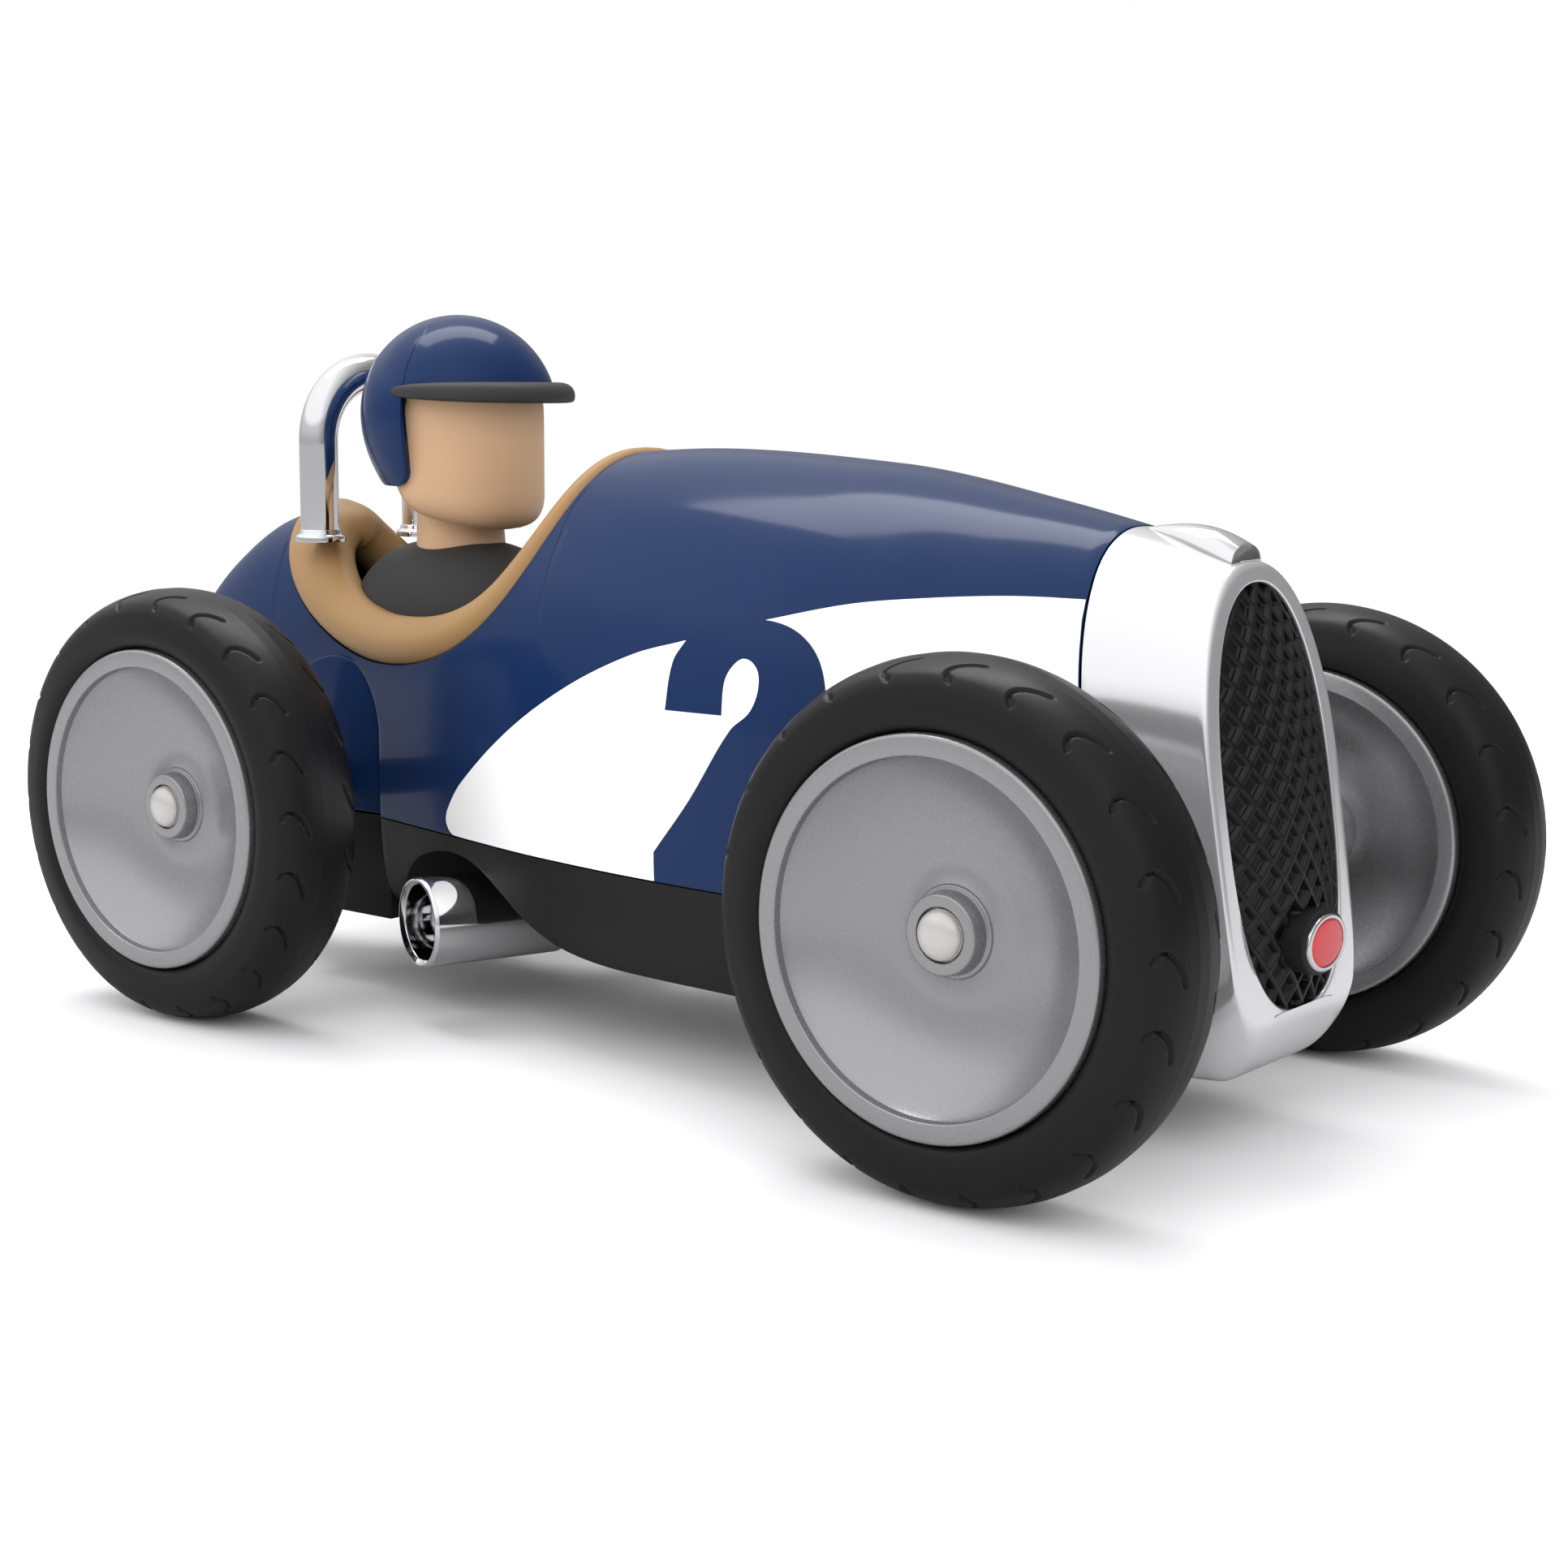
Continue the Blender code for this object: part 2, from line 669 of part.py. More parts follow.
def arch_block(name, sign, grow, inner):
    """The exhaust's recess, which runs inward along the pipe. Grown by a wall, it is the recess's liner."""
    mouth = exhaust_mouth(sign)
    direction = exhaust_direction(sign)
    middle = Vector((sum(p[0] for p in ARCH_OUTLINE) / len(ARCH_OUTLINE), -0.004))
    rings = []
    for y in (inner, ARCH_SKIN + WIDE):
        shift = direction.x / abs(direction.y) * (y - EXHAUST_OUT)
        ring = []
        for point in ARCH_OUTLINE:
            away = Vector(point) - middle
            out = middle + away * (1 + grow / max(abs(c) for c in away)) if grow else Vector(point)
            ring.append((mouth.x + shift + out[0], sign * y, mouth.z + out[1]))
        rings.append(ring)
    return loft(name, rings, cutter=True)


def make_chassis():
    tail = station(CHASSIS_TAIL)
    end = SEAM_X - FIT_GAP / 2
    rings = [lower_ring(x, PARTING_BOTTOM + TRIM) for x in stations(tail, end)]
    pan = loft("chassis_pan", rings, BLACK_SATIN)
    hollow = [
        lower_ring(x, PARTING_BOTTOM + 3 * TRIM, FLOOR_WALL)
        for x in stations(tail + 2 * FLOOR_WALL, end + FLOOR_WALL)
    ]
    cavity = loft("chassis_cavity", hollow, cutter=True)
    for side, sign in SIDES.items():
        cut(cavity, arch_block(f"liner_{side}", sign, FLOOR_WALL, ARCH_INNER - FLOOR_WALL))
    cut(pan, cavity)
    plane = pad_plane(REAR_X)
    for side, sign in SIDES.items():
        near, far = sorted((sign * (plane - PAD_LAP), sign * (plane + WIDE)))
        low = (REAR_X - PAD_HALF_WIDTH + PAD_LAP, near, 0.0)
        high = (REAR_X + PAD_HALF_WIDTH - PAD_LAP, far, TALL)
        cut(pan, box(f"lower_clear_{side}", low, high, cutter=True))
        near, far = sorted((sign * (plane - PAD_DEPTH), sign * plane))
        low = (REAR_X - PAD_HALF_WIDTH, near, UNDERSIDE_HEIGHT + PAD_STAND)
        high = (REAR_X + PAD_HALF_WIDTH, far, PARTING_BOTTOM + 2 * TRIM)
        add(pan, box(f"lower_pad_{side}", low, high, cutter=True))
    for name, (x, y) in body_screws().items():
        boss = SCREW_HEAD_RADIUS + FIT_GAP + BOSS_WALL
        profile = rod(boss, floor_at(x) + FLOOR_WALL / 2, PARTING_BOTTOM + 2 * TRIM)
        add(pan, turned(f"boss_{name}", profile, (x, y, 0), (0, 0, 1), steps=16, cutter=True))
    low, high = (TAIL_X, -WIDE, PARTING_BOTTOM), (GRILLE_X, WIDE, TALL)
    cut(pan, box("above_parting", low, high, cutter=True))
    for name, (x, y) in body_screws().items():
        shank, head = SCREW_RADIUS + FIT_GAP, SCREW_HEAD_RADIUS + FIT_GAP
        seat = seat_at(x)
        profile = ((0, TALL), (shank, TALL), (shank, seat), (head, seat), (head, 0), (0, 0))
        cut(pan, turned(f"screw_way_{name}", profile, (x, y, 0), (0, 0, 1), steps=16, cutter=True))
    for name, x in AXLES.items():
        reach = pad_plane(x) - PAD_DEPTH - CRADLE_WALL
        low = (x - CRADLE_HALF_LENGTH, -reach, floor_at(x) + FLOOR_WALL / 2)
        high = (x + CRADLE_HALF_LENGTH, reach, AXLE_HEIGHT + AXLE_RADIUS + CRADLE_WALL)
        add(pan, box(f"cradle_{name}", low, high, cutter=True))
        bore = rod(AXLE_RADIUS + FIT_GAP, -WIDE, WIDE)
        cut(pan, turned(f"axle_bore_{name}", bore, (x, 0, AXLE_HEIGHT), (0, 1, 0), steps=16, cutter=True))
    add(pan, tongue())
    x, _ = nose_screw_place()
    pilot = rod(SCREW_RADIUS + FIT_GAP, 0, TALL)
    cut(pan, turned("tongue_pilot", pilot, (x, 0, 0), (0, 0, 1), steps=12, cutter=True))
    for side, sign in SIDES.items():
        cut(pan, arch_block(f"arch_{side}", sign, 0.0, ARCH_INNER))
        back = -(EXHAUST_LENGTH + EXHAUST_PEG_LENGTH + FIT_GAP)
        bore = rod(EXHAUST_PEG_RADIUS + FIT_GAP, back, 0)
        where, towards = exhaust_mouth(sign), exhaust_direction(sign)
        cut(pan, turned(f"peg_bore_{side}", bore, where, towards, steps=16, cutter=True))


def nose_screw_place():
    """The nose screw's X, and the tongue's underside."""
    return SEAM_X + NOSE_SCREW_AHEAD, UNDERSIDE_HEIGHT + FLOOR_WALL - FLOOR_WALL / 4


def tongue():
    x, z = nose_screw_place()
    start = FRONT_X + CRADLE_HALF_LENGTH - FLOOR_WALL
    end = x + SCREW_HEAD_RADIUS + 2 * BOSS_WALL
    low = (start, -TONGUE_HALF_WIDTH, z)
    high = (end, TONGUE_HALF_WIDTH, z + TONGUE_THICKNESS)
    return box("tongue", low, high, cutter=True)


# ---- Nose, grille, badge ---------------------------------------------------------------------------


def opening_point(angle, shrink=0.0):
    """Y and Z of the grille opening's right-hand edge, drawn in by shrink."""
    upper = angle >= 0
    power = OPENING_CROWN_POWER if upper else OPENING_KEEL_POWER
    reach = OPENING_TOP_HEIGHT - WAIST_HEIGHT if upper else WAIST_HEIGHT - OPENING_BOTTOM_HEIGHT
    y = -(OPENING_HALF_WIDTH - shrink) * max(math.cos(angle), 0.0) ** (2 / power)
    z = (reach - shrink) * abs(math.sin(angle)) ** (2 / power)
    return y, WAIST_HEIGHT + math.copysign(z, angle)


def opening_ring(depth, shrink=0.0, share=1.0):
    """The opening's edge on the raked front plane, depth behind it, scaled about its middle."""
    middle = (OPENING_TOP_HEIGHT + OPENING_BOTTOM_HEIGHT) / 2
    right = []
    for angle in spread(-math.pi / 2, math.pi / 2, NOSE_STEPS):
        y, z = opening_point(angle, shrink)
        y, z = y * share, middle + (z - middle) * share
        right.append(Vector((GRILLE_X - depth + NOSE_RAKE * (WAIST_HEIGHT - z), y, z)))
    return right + [mirrored(point) for point in reversed(right[1:-1])]


def make_nose():
    start = SEAM_X + FIT_GAP / 2
    rings = [full_ring(x) for x in spread(start, GRILLE_X - NOSE_LIP, 5)]
    for angle in spread(0, math.pi / 2, 2)[1:]:
        x = GRILLE_X - NOSE_LIP * (1 - math.sin(angle))
        rings.append(full_ring(x, NOSE_LIP * (1 - math.cos(angle))))
    rings.append(opening_ring(0.0))
    rings.append(opening_ring(GRILLE_DEPTH))
    rings.append(full_ring(GRILLE_X - GRILLE_DEPTH - SHELL_WALL, SHELL_WALL))
    rings.append(full_ring(GRILLE_X - GRILLE_DEPTH - 4 * SHELL_WALL, SHELL_WALL))
    rings.append(full_ring(start, SHELL_WALL))
    shell = loft("nose_shell", rings, SILVER_GLOSS, closed=True)
    x, under = nose_screw_place()
    low = floor_at(x) + SHELL_WALL / 2
    boss = rod(SCREW_HEAD_RADIUS + FIT_GAP + BOSS_WALL, low, under - FIT_GAP)
    add(shell, turned("nose_boss", boss, (x, 0, 0), (0, 0, 1), steps=16, cutter=True))
    shank = SCREW_RADIUS + FIT_GAP
    head = SCREW_HEAD_RADIUS + FIT_GAP
    seat = nose_seat()
    way = ((0, under), (shank, under), (shank, seat), (head, seat), (head, 0), (0, 0))
    cut(shell, turned("nose_screw_way", way, (x, 0, 0), (0, 0, 1), steps=16, cutter=True))


def nose_seat():
    _, under = nose_screw_place()
    return under - FIT_GAP - 2 * BOSS_WALL


def make_grille():
    rings = [opening_ring(GRILLE_DEPTH - FIT_GAP, FIT_GAP)]
    for share in (1.0, 0.86, 0.62, 0.34):
        rings.append(opening_ring(-GRILLE_BULGE * (1 - share * share), FIT_GAP, share))
    loft("grille_insert", rings, BLACK_MATT)


def make_badge():
    middle = (OPENING_TOP_HEIGHT + OPENING_BOTTOM_HEIGHT) / 2
    face = -1.0
    for z in spread(BADGE_HEIGHT - BADGE_BASE_RADIUS, BADGE_HEIGHT + BADGE_BASE_RADIUS, 8):
        share = (middle - z) / (middle - OPENING_BOTTOM_HEIGHT)
        bulge = GRILLE_BULGE * (1 - share * share)
        face = max(face, GRILLE_X + NOSE_RAKE * (WAIST_HEIGHT - z) + bulge)
    x = face + FIT_GAP
    ahead = (1, 0, 0)
    base = rod(BADGE_BASE_RADIUS, 0, BADGE_BASE_THICKNESS)
    pieces = [turned("badge_base", base, (x, 0, BADGE_HEIGHT), ahead, BLACK_MATT)]
    x += BADGE_BASE_THICKNESS + FIT_GAP
    inner = BADGE_RADIUS + FIT_GAP
    outer = inner + BEZEL_WIDTH
    bezel = ((inner, 0.0007), (outer, 0.0005), (outer, 0), (inner, 0))
    pieces.append(turned("badge_bezel", bezel, (x, 0, BADGE_HEIGHT), ahead, CHROME))
    face = ((0, 0.0009), (BADGE_RADIUS * 0.6, 0.0008), (BADGE_RADIUS, 0.0004), (BADGE_RADIUS, 0), (0, 0))
    pieces.append(turned("badge_disc", face, (x, 0, BADGE_HEIGHT), ahead, RED_GLOSS))
    for piece in pieces:
        piece.scale.x = BADGE_WIDE


def make_ridge():
    """The pointed ridge on top of the nose, with a blunt front end."""
    top_z = section(SEAM_X)[1]
    start = SEAM_X + lean(SEAM_X) * (WAIST_HEIGHT - top_z) + 2 * FIT_GAP
    rings = []
    for t in spread(0, 1, 6):
        x = start + RIDGE_LENGTH * t
        bottom = section(x)[1] + FIT_GAP
        half = 0.0006 + (RIDGE_HALF_WIDTH - 0.0006) * math.sin(t * math.pi / 2)
        rise = 0.0005 + RIDGE_RISE * math.sin(min(t * 1.25, 1.0) * math.pi / 2) * (1 - 0.35 * t ** 4)
        ring = [(x, -half, bottom), (x, -half * 0.92, bottom + rise * 0.5)]
        ring += [(x, -half * 0.55, bottom + rise * 0.9), (x, 0, bottom + rise)]
        ring += [(px, -py, pz) for px, py, pz in reversed(ring[:3])]
        rings.append(ring)
    loft("nose_ridge", rings, CHROME)


# ---- Cockpit and driver ------------------------------------------------------------------------------


def foot_centre(sign):
    return Vector((HOOP_X, sign * HOOP_RADIUS, HOOP_SEAT_HEIGHT))


def make_cockpit():
    rim = loft("cockpit_rim", rim_rings(), TAN_SATIN, closed=True)
    for side, sign in SIDES.items():
        pocket = rod(HOOP_TUBE / 2 + FOOT_FLANGE + FIT_GAP, -FIT_GAP, TALL)
        cut(rim, turned(f"foot_pocket_{side}", pocket, foot_centre(sign), (0, 0, 1), cutter=True))
    cut(rim, torso_form("rim_clear", grow=2 * FIT_GAP))
    wall = SHELL_WALL + TRAY_GAP
    firewall = station(COCKPIT_TO) + FIREWALL_BEHIND_HOOD_EDGE
    low_x = station(TRAY_FROM)
    floor_top = TRAY_HEIGHT + TRAY_WALL
    outline = (
        (low_x, TRAY_HEIGHT), (firewall + TRAY_WALL, TRAY_HEIGHT), (firewall + TRAY_WALL, TALL),
        (firewall, TALL), (firewall, floor_top), (low_x, floor_top),
    )
    tray = loft("cockpit_tray", [[(x, y, z) for x, z in outline] for y in (-WIDE, WIDE)], BLACK_MATT)
    inside = [
        upper_ring(x, TRAY_HEIGHT - TRAY_WALL, wall)
        for x in stations(low_x - STATION_LENGTH, firewall + STATION_LENGTH)
    ]
    join(tray, loft("tray_limit", inside, cutter=True), "INTERSECT")
    inner = pad_plane(REAR_X) - PAD_DEPTH - FIT_GAP
    half, top = PAD_HALF_WIDTH + FIT_GAP, PAD_TOP_HEIGHT + FIT_GAP
    for side, sign in SIDES.items():
        near, far = sorted((sign * inner, sign * WIDE))
        cut(tray, arch(REAR_X, half, top, 0.0, near, far, f"tray_notch_{side}"))
    way = rod(SCREW_RADIUS + FIT_GAP, 0, TALL)
    cut(tray, turned("tray_screw_way", way, (DRIVER_X, 0, 0), (0, 0, 1), steps=12, cutter=True))


def torso_form(name, material=None, grow=0.0):
    """A squarish dome about the driver's seat, whose lower half lies under the tray."""
    base = TORSO_BASE_HEIGHT
    bm = bmesh.new()
    bmesh.ops.create_uvsphere(bm, u_segments=24, v_segments=14, radius=1.0)
    size = Vector((TORSO_LENGTH / 2, TORSO_WIDTH / 2, TORSO_TOP_HEIGHT - base))
    size += Vector((grow, grow, grow))
    for vert in bm.verts:
        level = sum(abs(c) ** TORSO_POWER for c in vert.co) ** (-1 / TORSO_POWER)
        vert.co = Vector((DRIVER_X, 0, base)) + vert.co * level * size
    return from_bmesh(name, bm, material, cutter=material is None)


def make_torso():
    base = TORSO_BASE_HEIGHT
    torso = torso_form("driver_torso", GREY_MATT)
    cut_by_plane(torso, (DRIVER_X, 0, base), (0, 0, -1))
    seat = rod(NECK_RADIUS + FIT_GAP, NECK_SEAT_HEIGHT - FIT_GAP, TALL)
    cut(torso, turned("neck_seat", seat, (DRIVER_X, 0, 0), (0, 0, 1), cutter=True))
    pilot = rod(SCREW_RADIUS + FIT_GAP, 0, base + SCREW_BITE + FIT_GAP)
    cut(torso, turned("torso_pilot", pilot, (DRIVER_X, 0, 0), (0, 0, 1), steps=12, cutter=True))


def make_head():
    """Head and neck meet on a sloping face, low at the chin and high at the nape."""
    chin = Vector((DRIVER_X + HEAD_RADIUS * 0.55, 0, CHIN_HEIGHT))
    slope = Vector((-JAW_SLOPE, 0, -1)).normalized()
    bottom = CHIN_HEIGHT - CHIN_ROUND / 2
    profile = [
        (HEAD_RADIUS * math.sin(a), HEAD_CENTRE_HEIGHT + HEAD_RADIUS * math.cos(a))
        for a in spread(0, math.pi / 2, 6)
    ]
    profile += [(HEAD_RADIUS, bottom + 2 * CHIN_ROUND)]
    profile += [(HEAD_RADIUS - CHIN_ROUND * 0.2, bottom + CHIN_ROUND), (HEAD_RADIUS - CHIN_ROUND, bottom)]
    profile += [(0, bottom)]
    head = turned("driver_head", profile, (DRIVER_X, 0, 0), (0, 0, 1), SKIN_MATT)
    made_mesh(head)
    cut_by_plane(head, chin, slope)
    top = CHIN_HEIGHT + CHIN_ROUND
    neck = rod(NECK_RADIUS, NECK_SEAT_HEIGHT, top)
    neck = turned("driver_neck", neck, (DRIVER_X, 0, 0), (0, 0, 1), SKIN_MATT)
    made_mesh(neck)
    cut_by_plane(neck, chin + slope * FIT_GAP, -slope)


def make_helmet():
    inner = HEAD_RADIUS + FIT_GAP
    outer = inner + HELMET_WALL
    centre = HEAD_CENTRE_HEIGHT
    arc = spread(0, math.pi / 2, 6)
    profile = [(outer * math.sin(a), centre + outer * math.cos(a)) for a in arc]
    drop = centre - HELMET_SKIRT_HEIGHT
    profile += [(outer - HELMET_WALL * 0.15, centre - drop * 0.55)]
    profile += [(inner + HELMET_WALL * 0.4, HELMET_SKIRT_HEIGHT), (inner, HELMET_SKIRT_HEIGHT)]
    profile += [(inner * math.sin(a), centre + inner * math.cos(a)) for a in reversed(arc)]
    helmet = turned("driver_helmet", profile, (DRIVER_X, 0, 0), (0, 0, 1), BLUE_GLOSS, 24)
    low = (DRIVER_X + FACE_OPENING_AHEAD, -WIDE, 0)
    high = (DRIVER_X + WIDE, WIDE, VISOR_HEIGHT)
    cut(helmet, box("face_opening", low, high, cutter=True))
    reach = outer + VISOR_REACH / 2
    half = VISOR_THICKNESS / 2
    peak = ((0, half), (reach - half / 2, half), (reach, 0), (reach - half / 2, -half), (0, -half))
    forward = (DRIVER_X + VISOR_REACH / 2, 0, VISOR_HEIGHT)
    visor = turned("helmet_visor", peak, forward, (0, 0, 1), GREY_MATT, 24)
    clear = outer + FIT_GAP
    ball = [(clear * math.sin(a), clear * math.cos(a)) for a in spread(0, math.pi, 14)]
    at = (DRIVER_X, 0, centre)
    cut(visor, turned("visor_clear", ball, at, (0, 0, 1), steps=24, cutter=True))
    low = (DRIVER_X - WIDE, -WIDE, 0)
    high = (DRIVER_X + FACE_OPENING_AHEAD, WIDE, TALL)
    cut(visor, box("visor_ends", low, high, cutter=True))


def make_hoop():
    data = bpy.data.curves.new("roll_hoop", "CURVE")
    data.dimensions = "3D"
    data.bevel_depth = HOOP_TUBE / 2
    data.bevel_resolution = 4
    data.use_fill_caps = True
    shoulder = HOOP_TOP_HEIGHT - HOOP_RADIUS
    path = [(HOOP_X, -HOOP_RADIUS, HOOP_SEAT_HEIGHT)]
    for angle in spread(0, math.pi, 12):
        path.append((HOOP_X, -HOOP_RADIUS * math.cos(angle), shoulder + HOOP_RADIUS * math.sin(angle)))
    path.append((HOOP_X, HOOP_RADIUS, HOOP_SEAT_HEIGHT))
    spline = data.splines.new("POLY")
    spline.points.add(len(path) - 1)
    for point, where in zip(spline.points, path):
        point.co = (*where, 1.0)
    place("roll_hoop", data, CHROME)
    inner = HOOP_TUBE / 2 + FIT_GAP
    outer = HOOP_TUBE / 2 + FOOT_FLANGE
    foot = ((inner, FOOT_HEIGHT), (outer - 0.0003, FOOT_HEIGHT * 0.8))
    foot += ((outer, 0.0004), (outer, 0), (inner, 0))
    for side, sign in SIDES.items():
        turned(f"hoop_foot_{side}", foot, foot_centre(sign), (0, 0, 1), CHROME, 16)


# ---- Exhausts, axles, wheels, screws -------------------------------------------------------------------


def make_exhausts():
    r, bore, back = EXHAUST_RADIUS, EXHAUST_RADIUS - EXHAUST_WALL, -EXHAUST_LENGTH
    peg, end = EXHAUST_PEG_RADIUS, back - EXHAUST_PEG_LENGTH
    lip = EXHAUST_WALL / 2
    profile = ((0, -EXHAUST_BORE), (bore, -EXHAUST_BORE), (bore, -lip), (bore + lip, 0))
    profile += ((r - lip / 2, 0), (r, -lip), (r, back), (peg, back), (peg, end), (0, end))
    for side, sign in SIDES.items():
        direction = exhaust_direction(sign)
        turned(f"exhaust_{side}", profile, exhaust_mouth(sign), direction, CHROME, 20)


def tyre_profile():
    half, r, bead = TYRE_WIDTH / 2, WHEEL_RADIUS, DISC_RADIUS + FIT_GAP
    wall = r - bead
    upper = ((bead, half * 0.86), (bead + wall * 0.4, half), (bead + wall * 0.82, half * 0.86))
    upper += ((r, half * 0.40),)
    return upper + tuple((radius, -height) for radius, height in reversed(upper))


def disc_profile():
    """Barrel, dished web and hub tube with a counterbore for the axle cap."""
    half = TYRE_WIDTH / 2 + DISC_PROUD
    r, lip = DISC_RADIUS, DISC_RADIUS - DISC_LIP
    boss = half - BOSS_RECESS
    bore = AXLE_RADIUS + RUNNING_GAP + BUSH_WALL + FIT_GAP
    well = CAP_RADIUS + FIT_GAP
    dish = boss - 0.0008
    web = 0.0022
    front = ((bore, boss - CAP_DEPTH - FIT_GAP), (well, boss - CAP_DEPTH - FIT_GAP), (well, boss))
    front += ((BOSS_RADIUS, boss), (HUB_RADIUS + 0.0004, dish))
    front += ((lip - 0.0022, dish + 0.0024), (lip, half))
    back = ((r, half), (r, -half), (lip, -half), (lip - 0.0008, dish + 0.0024 - web))
    back += ((HUB_RADIUS, dish - web), (HUB_RADIUS, -half), (bore, -half))
    return front + back


def make_wheels():
    half = TYRE_WIDTH / 2 + DISC_PROUD
    boss = half - BOSS_RECESS
    running = AXLE_RADIUS + RUNNING_GAP
    cap_base = boss - CAP_DEPTH
    cap_bore = AXLE_RADIUS + FIT_GAP
    axle_end = TRACK_HALF + boss + 0.0002
    bush_top = cap_base - 2 * FIT_GAP
    bush = ((running, bush_top), (running + BUSH_WALL, bush_top))
    bush += ((running + BUSH_WALL, -half), (running, -half))
    blind = boss + 0.0002 + FIT_GAP
    dome = [
        (CAP_RADIUS * math.sin(a), boss + CAP_DOME * math.cos(a)) for a in spread(0, math.pi / 2, 4)
    ]
    cap = tuple(dome) + ((CAP_RADIUS, cap_base), (cap_bore, cap_base), (cap_bore, blind), (0, blind))
    for axle, x in AXLES.items():
        wire = rod(AXLE_RADIUS, -axle_end, axle_end)
        turned(f"{axle}_axle", wire, (x, 0, AXLE_HEIGHT), (0, 1, 0), STEEL, 12)
        for side, sign in SIDES.items():
            at = (x, sign * TRACK_HALF, AXLE_HEIGHT)
            out = (0, sign, 0)
            label = f"{axle}_{side}"
            turned(f"tyre_{label}", tyre_profile(), at, out, RUBBER, 32)
            turned(f"wheel_disc_{label}", disc_profile(), at, out, SILVER_PAINT, 20)
            turned(f"hub_bush_{label}", bush, at, out, NYLON, 12)
            turned(f"axle_cap_{label}", cap, at, out, PEARL, 16)
            low = pad_plane(x) + FIT_GAP - TRACK_HALF
            high = -half - FIT_GAP
            outer = cap_bore + SPACER_WALL
            spacer = ((cap_bore, high), (outer, high), (outer, low), (cap_bore, low))
            turned(f"axle_spacer_{label}", spacer, at, out, BLACK_SATIN, 16)


def screw_profile(seat, tip):
    head = SCREW_HEAD_RADIUS
    low = seat - FIT_GAP - SCREW_HEAD_HEIGHT
    middle = low + SCREW_HEAD_HEIGHT / 2
    socket = (0, middle), (head * 0.45, middle), (head * 0.45, low)
    profile = ((0, tip), (SCREW_RADIUS * 0.6, tip), (SCREW_RADIUS, tip - 0.001))
    profile += ((SCREW_RADIUS, seat - FIT_GAP),)
    profile += ((head, seat - FIT_GAP), (head, low + 0.0004), (head * 0.85, low))
    return profile + tuple(reversed(socket))


def make_screws():
    for name, (x, y) in body_screws().items():
        profile = screw_profile(seat_at(x), PARTING_TOP + SCREW_BITE)
        turned(f"body_screw_{name}", profile, (x, y, 0), (0, 0, 1), STEEL, 10)
    x, under = nose_screw_place()
    profile = screw_profile(nose_seat(), under + TONGUE_THICKNESS)
    turned("nose_screw", profile, (x, 0, 0), (0, 0, 1), STEEL, 10)
    seat = TRAY_HEIGHT
    tip = TRAY_HEIGHT + TRAY_WALL + SCREW_BITE
    turned("driver_screw", screw_profile(seat, tip), (DRIVER_X, 0, 0), (0, 0, 1), STEEL, 10)


make_body_shell()
make_chassis()
make_nose()
make_grille()
make_badge()
make_ridge()
make_cockpit()
make_torso()
make_head()
make_helmet()
make_hoop()
make_exhausts()
make_wheels()
make_screws()
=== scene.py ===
"""Looks of a push-along toy racing car.

Smooth body, racing-number decals, diamond grille, treaded tyres and a driver figure.
"""

import json
import math

import bpy
import numpy as np
from mathutils import Matrix, Vector


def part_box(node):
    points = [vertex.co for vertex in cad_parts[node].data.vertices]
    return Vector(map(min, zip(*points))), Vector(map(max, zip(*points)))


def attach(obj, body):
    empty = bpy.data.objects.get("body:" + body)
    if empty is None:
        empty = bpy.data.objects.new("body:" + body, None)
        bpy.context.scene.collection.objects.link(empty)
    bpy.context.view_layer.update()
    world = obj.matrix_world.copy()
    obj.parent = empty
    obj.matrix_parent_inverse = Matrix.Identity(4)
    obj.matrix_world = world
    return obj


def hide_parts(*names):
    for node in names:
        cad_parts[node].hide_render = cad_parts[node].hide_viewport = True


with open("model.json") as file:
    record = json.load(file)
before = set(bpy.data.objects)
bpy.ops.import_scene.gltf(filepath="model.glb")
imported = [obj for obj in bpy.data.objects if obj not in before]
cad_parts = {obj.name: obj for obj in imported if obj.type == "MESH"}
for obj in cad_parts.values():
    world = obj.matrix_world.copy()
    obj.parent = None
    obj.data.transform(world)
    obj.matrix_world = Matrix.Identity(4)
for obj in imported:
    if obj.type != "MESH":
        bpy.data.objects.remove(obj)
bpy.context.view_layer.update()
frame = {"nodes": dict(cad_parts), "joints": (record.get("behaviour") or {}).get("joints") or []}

bl_info = {
    "name": "Push-along toy racing car",
    "version": (1, 0, 0),
    "blender": (4, 5, 0),
    "location": "View3D > Sidebar > Toy Car",
    "description": "Builds the visual pieces of a toy racing car round its packed frame",
    "category": "Object",
}

# ---- Places read from the frame -----------------------------------------------------------------

CORNERS = ("rear_right", "rear_left", "front_right", "front_left")
HUBS = {joint["name"].replace("_wheel_spin", ""): Vector(joint["pos_m"]) for joint in frame["joints"]}
REAR_X = HUBS["rear_right"].x
FRONT_X = HUBS["front_right"].x
AXLE_HEIGHT = HUBS["rear_right"].z
WHEEL_RADIUS = AXLE_HEIGHT
TAIL_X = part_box("body_shell")[0].x
SIDES = {"right": -1, "left": 1}

# ---- The body's form, in metres and in shares of its length -------------------------------------

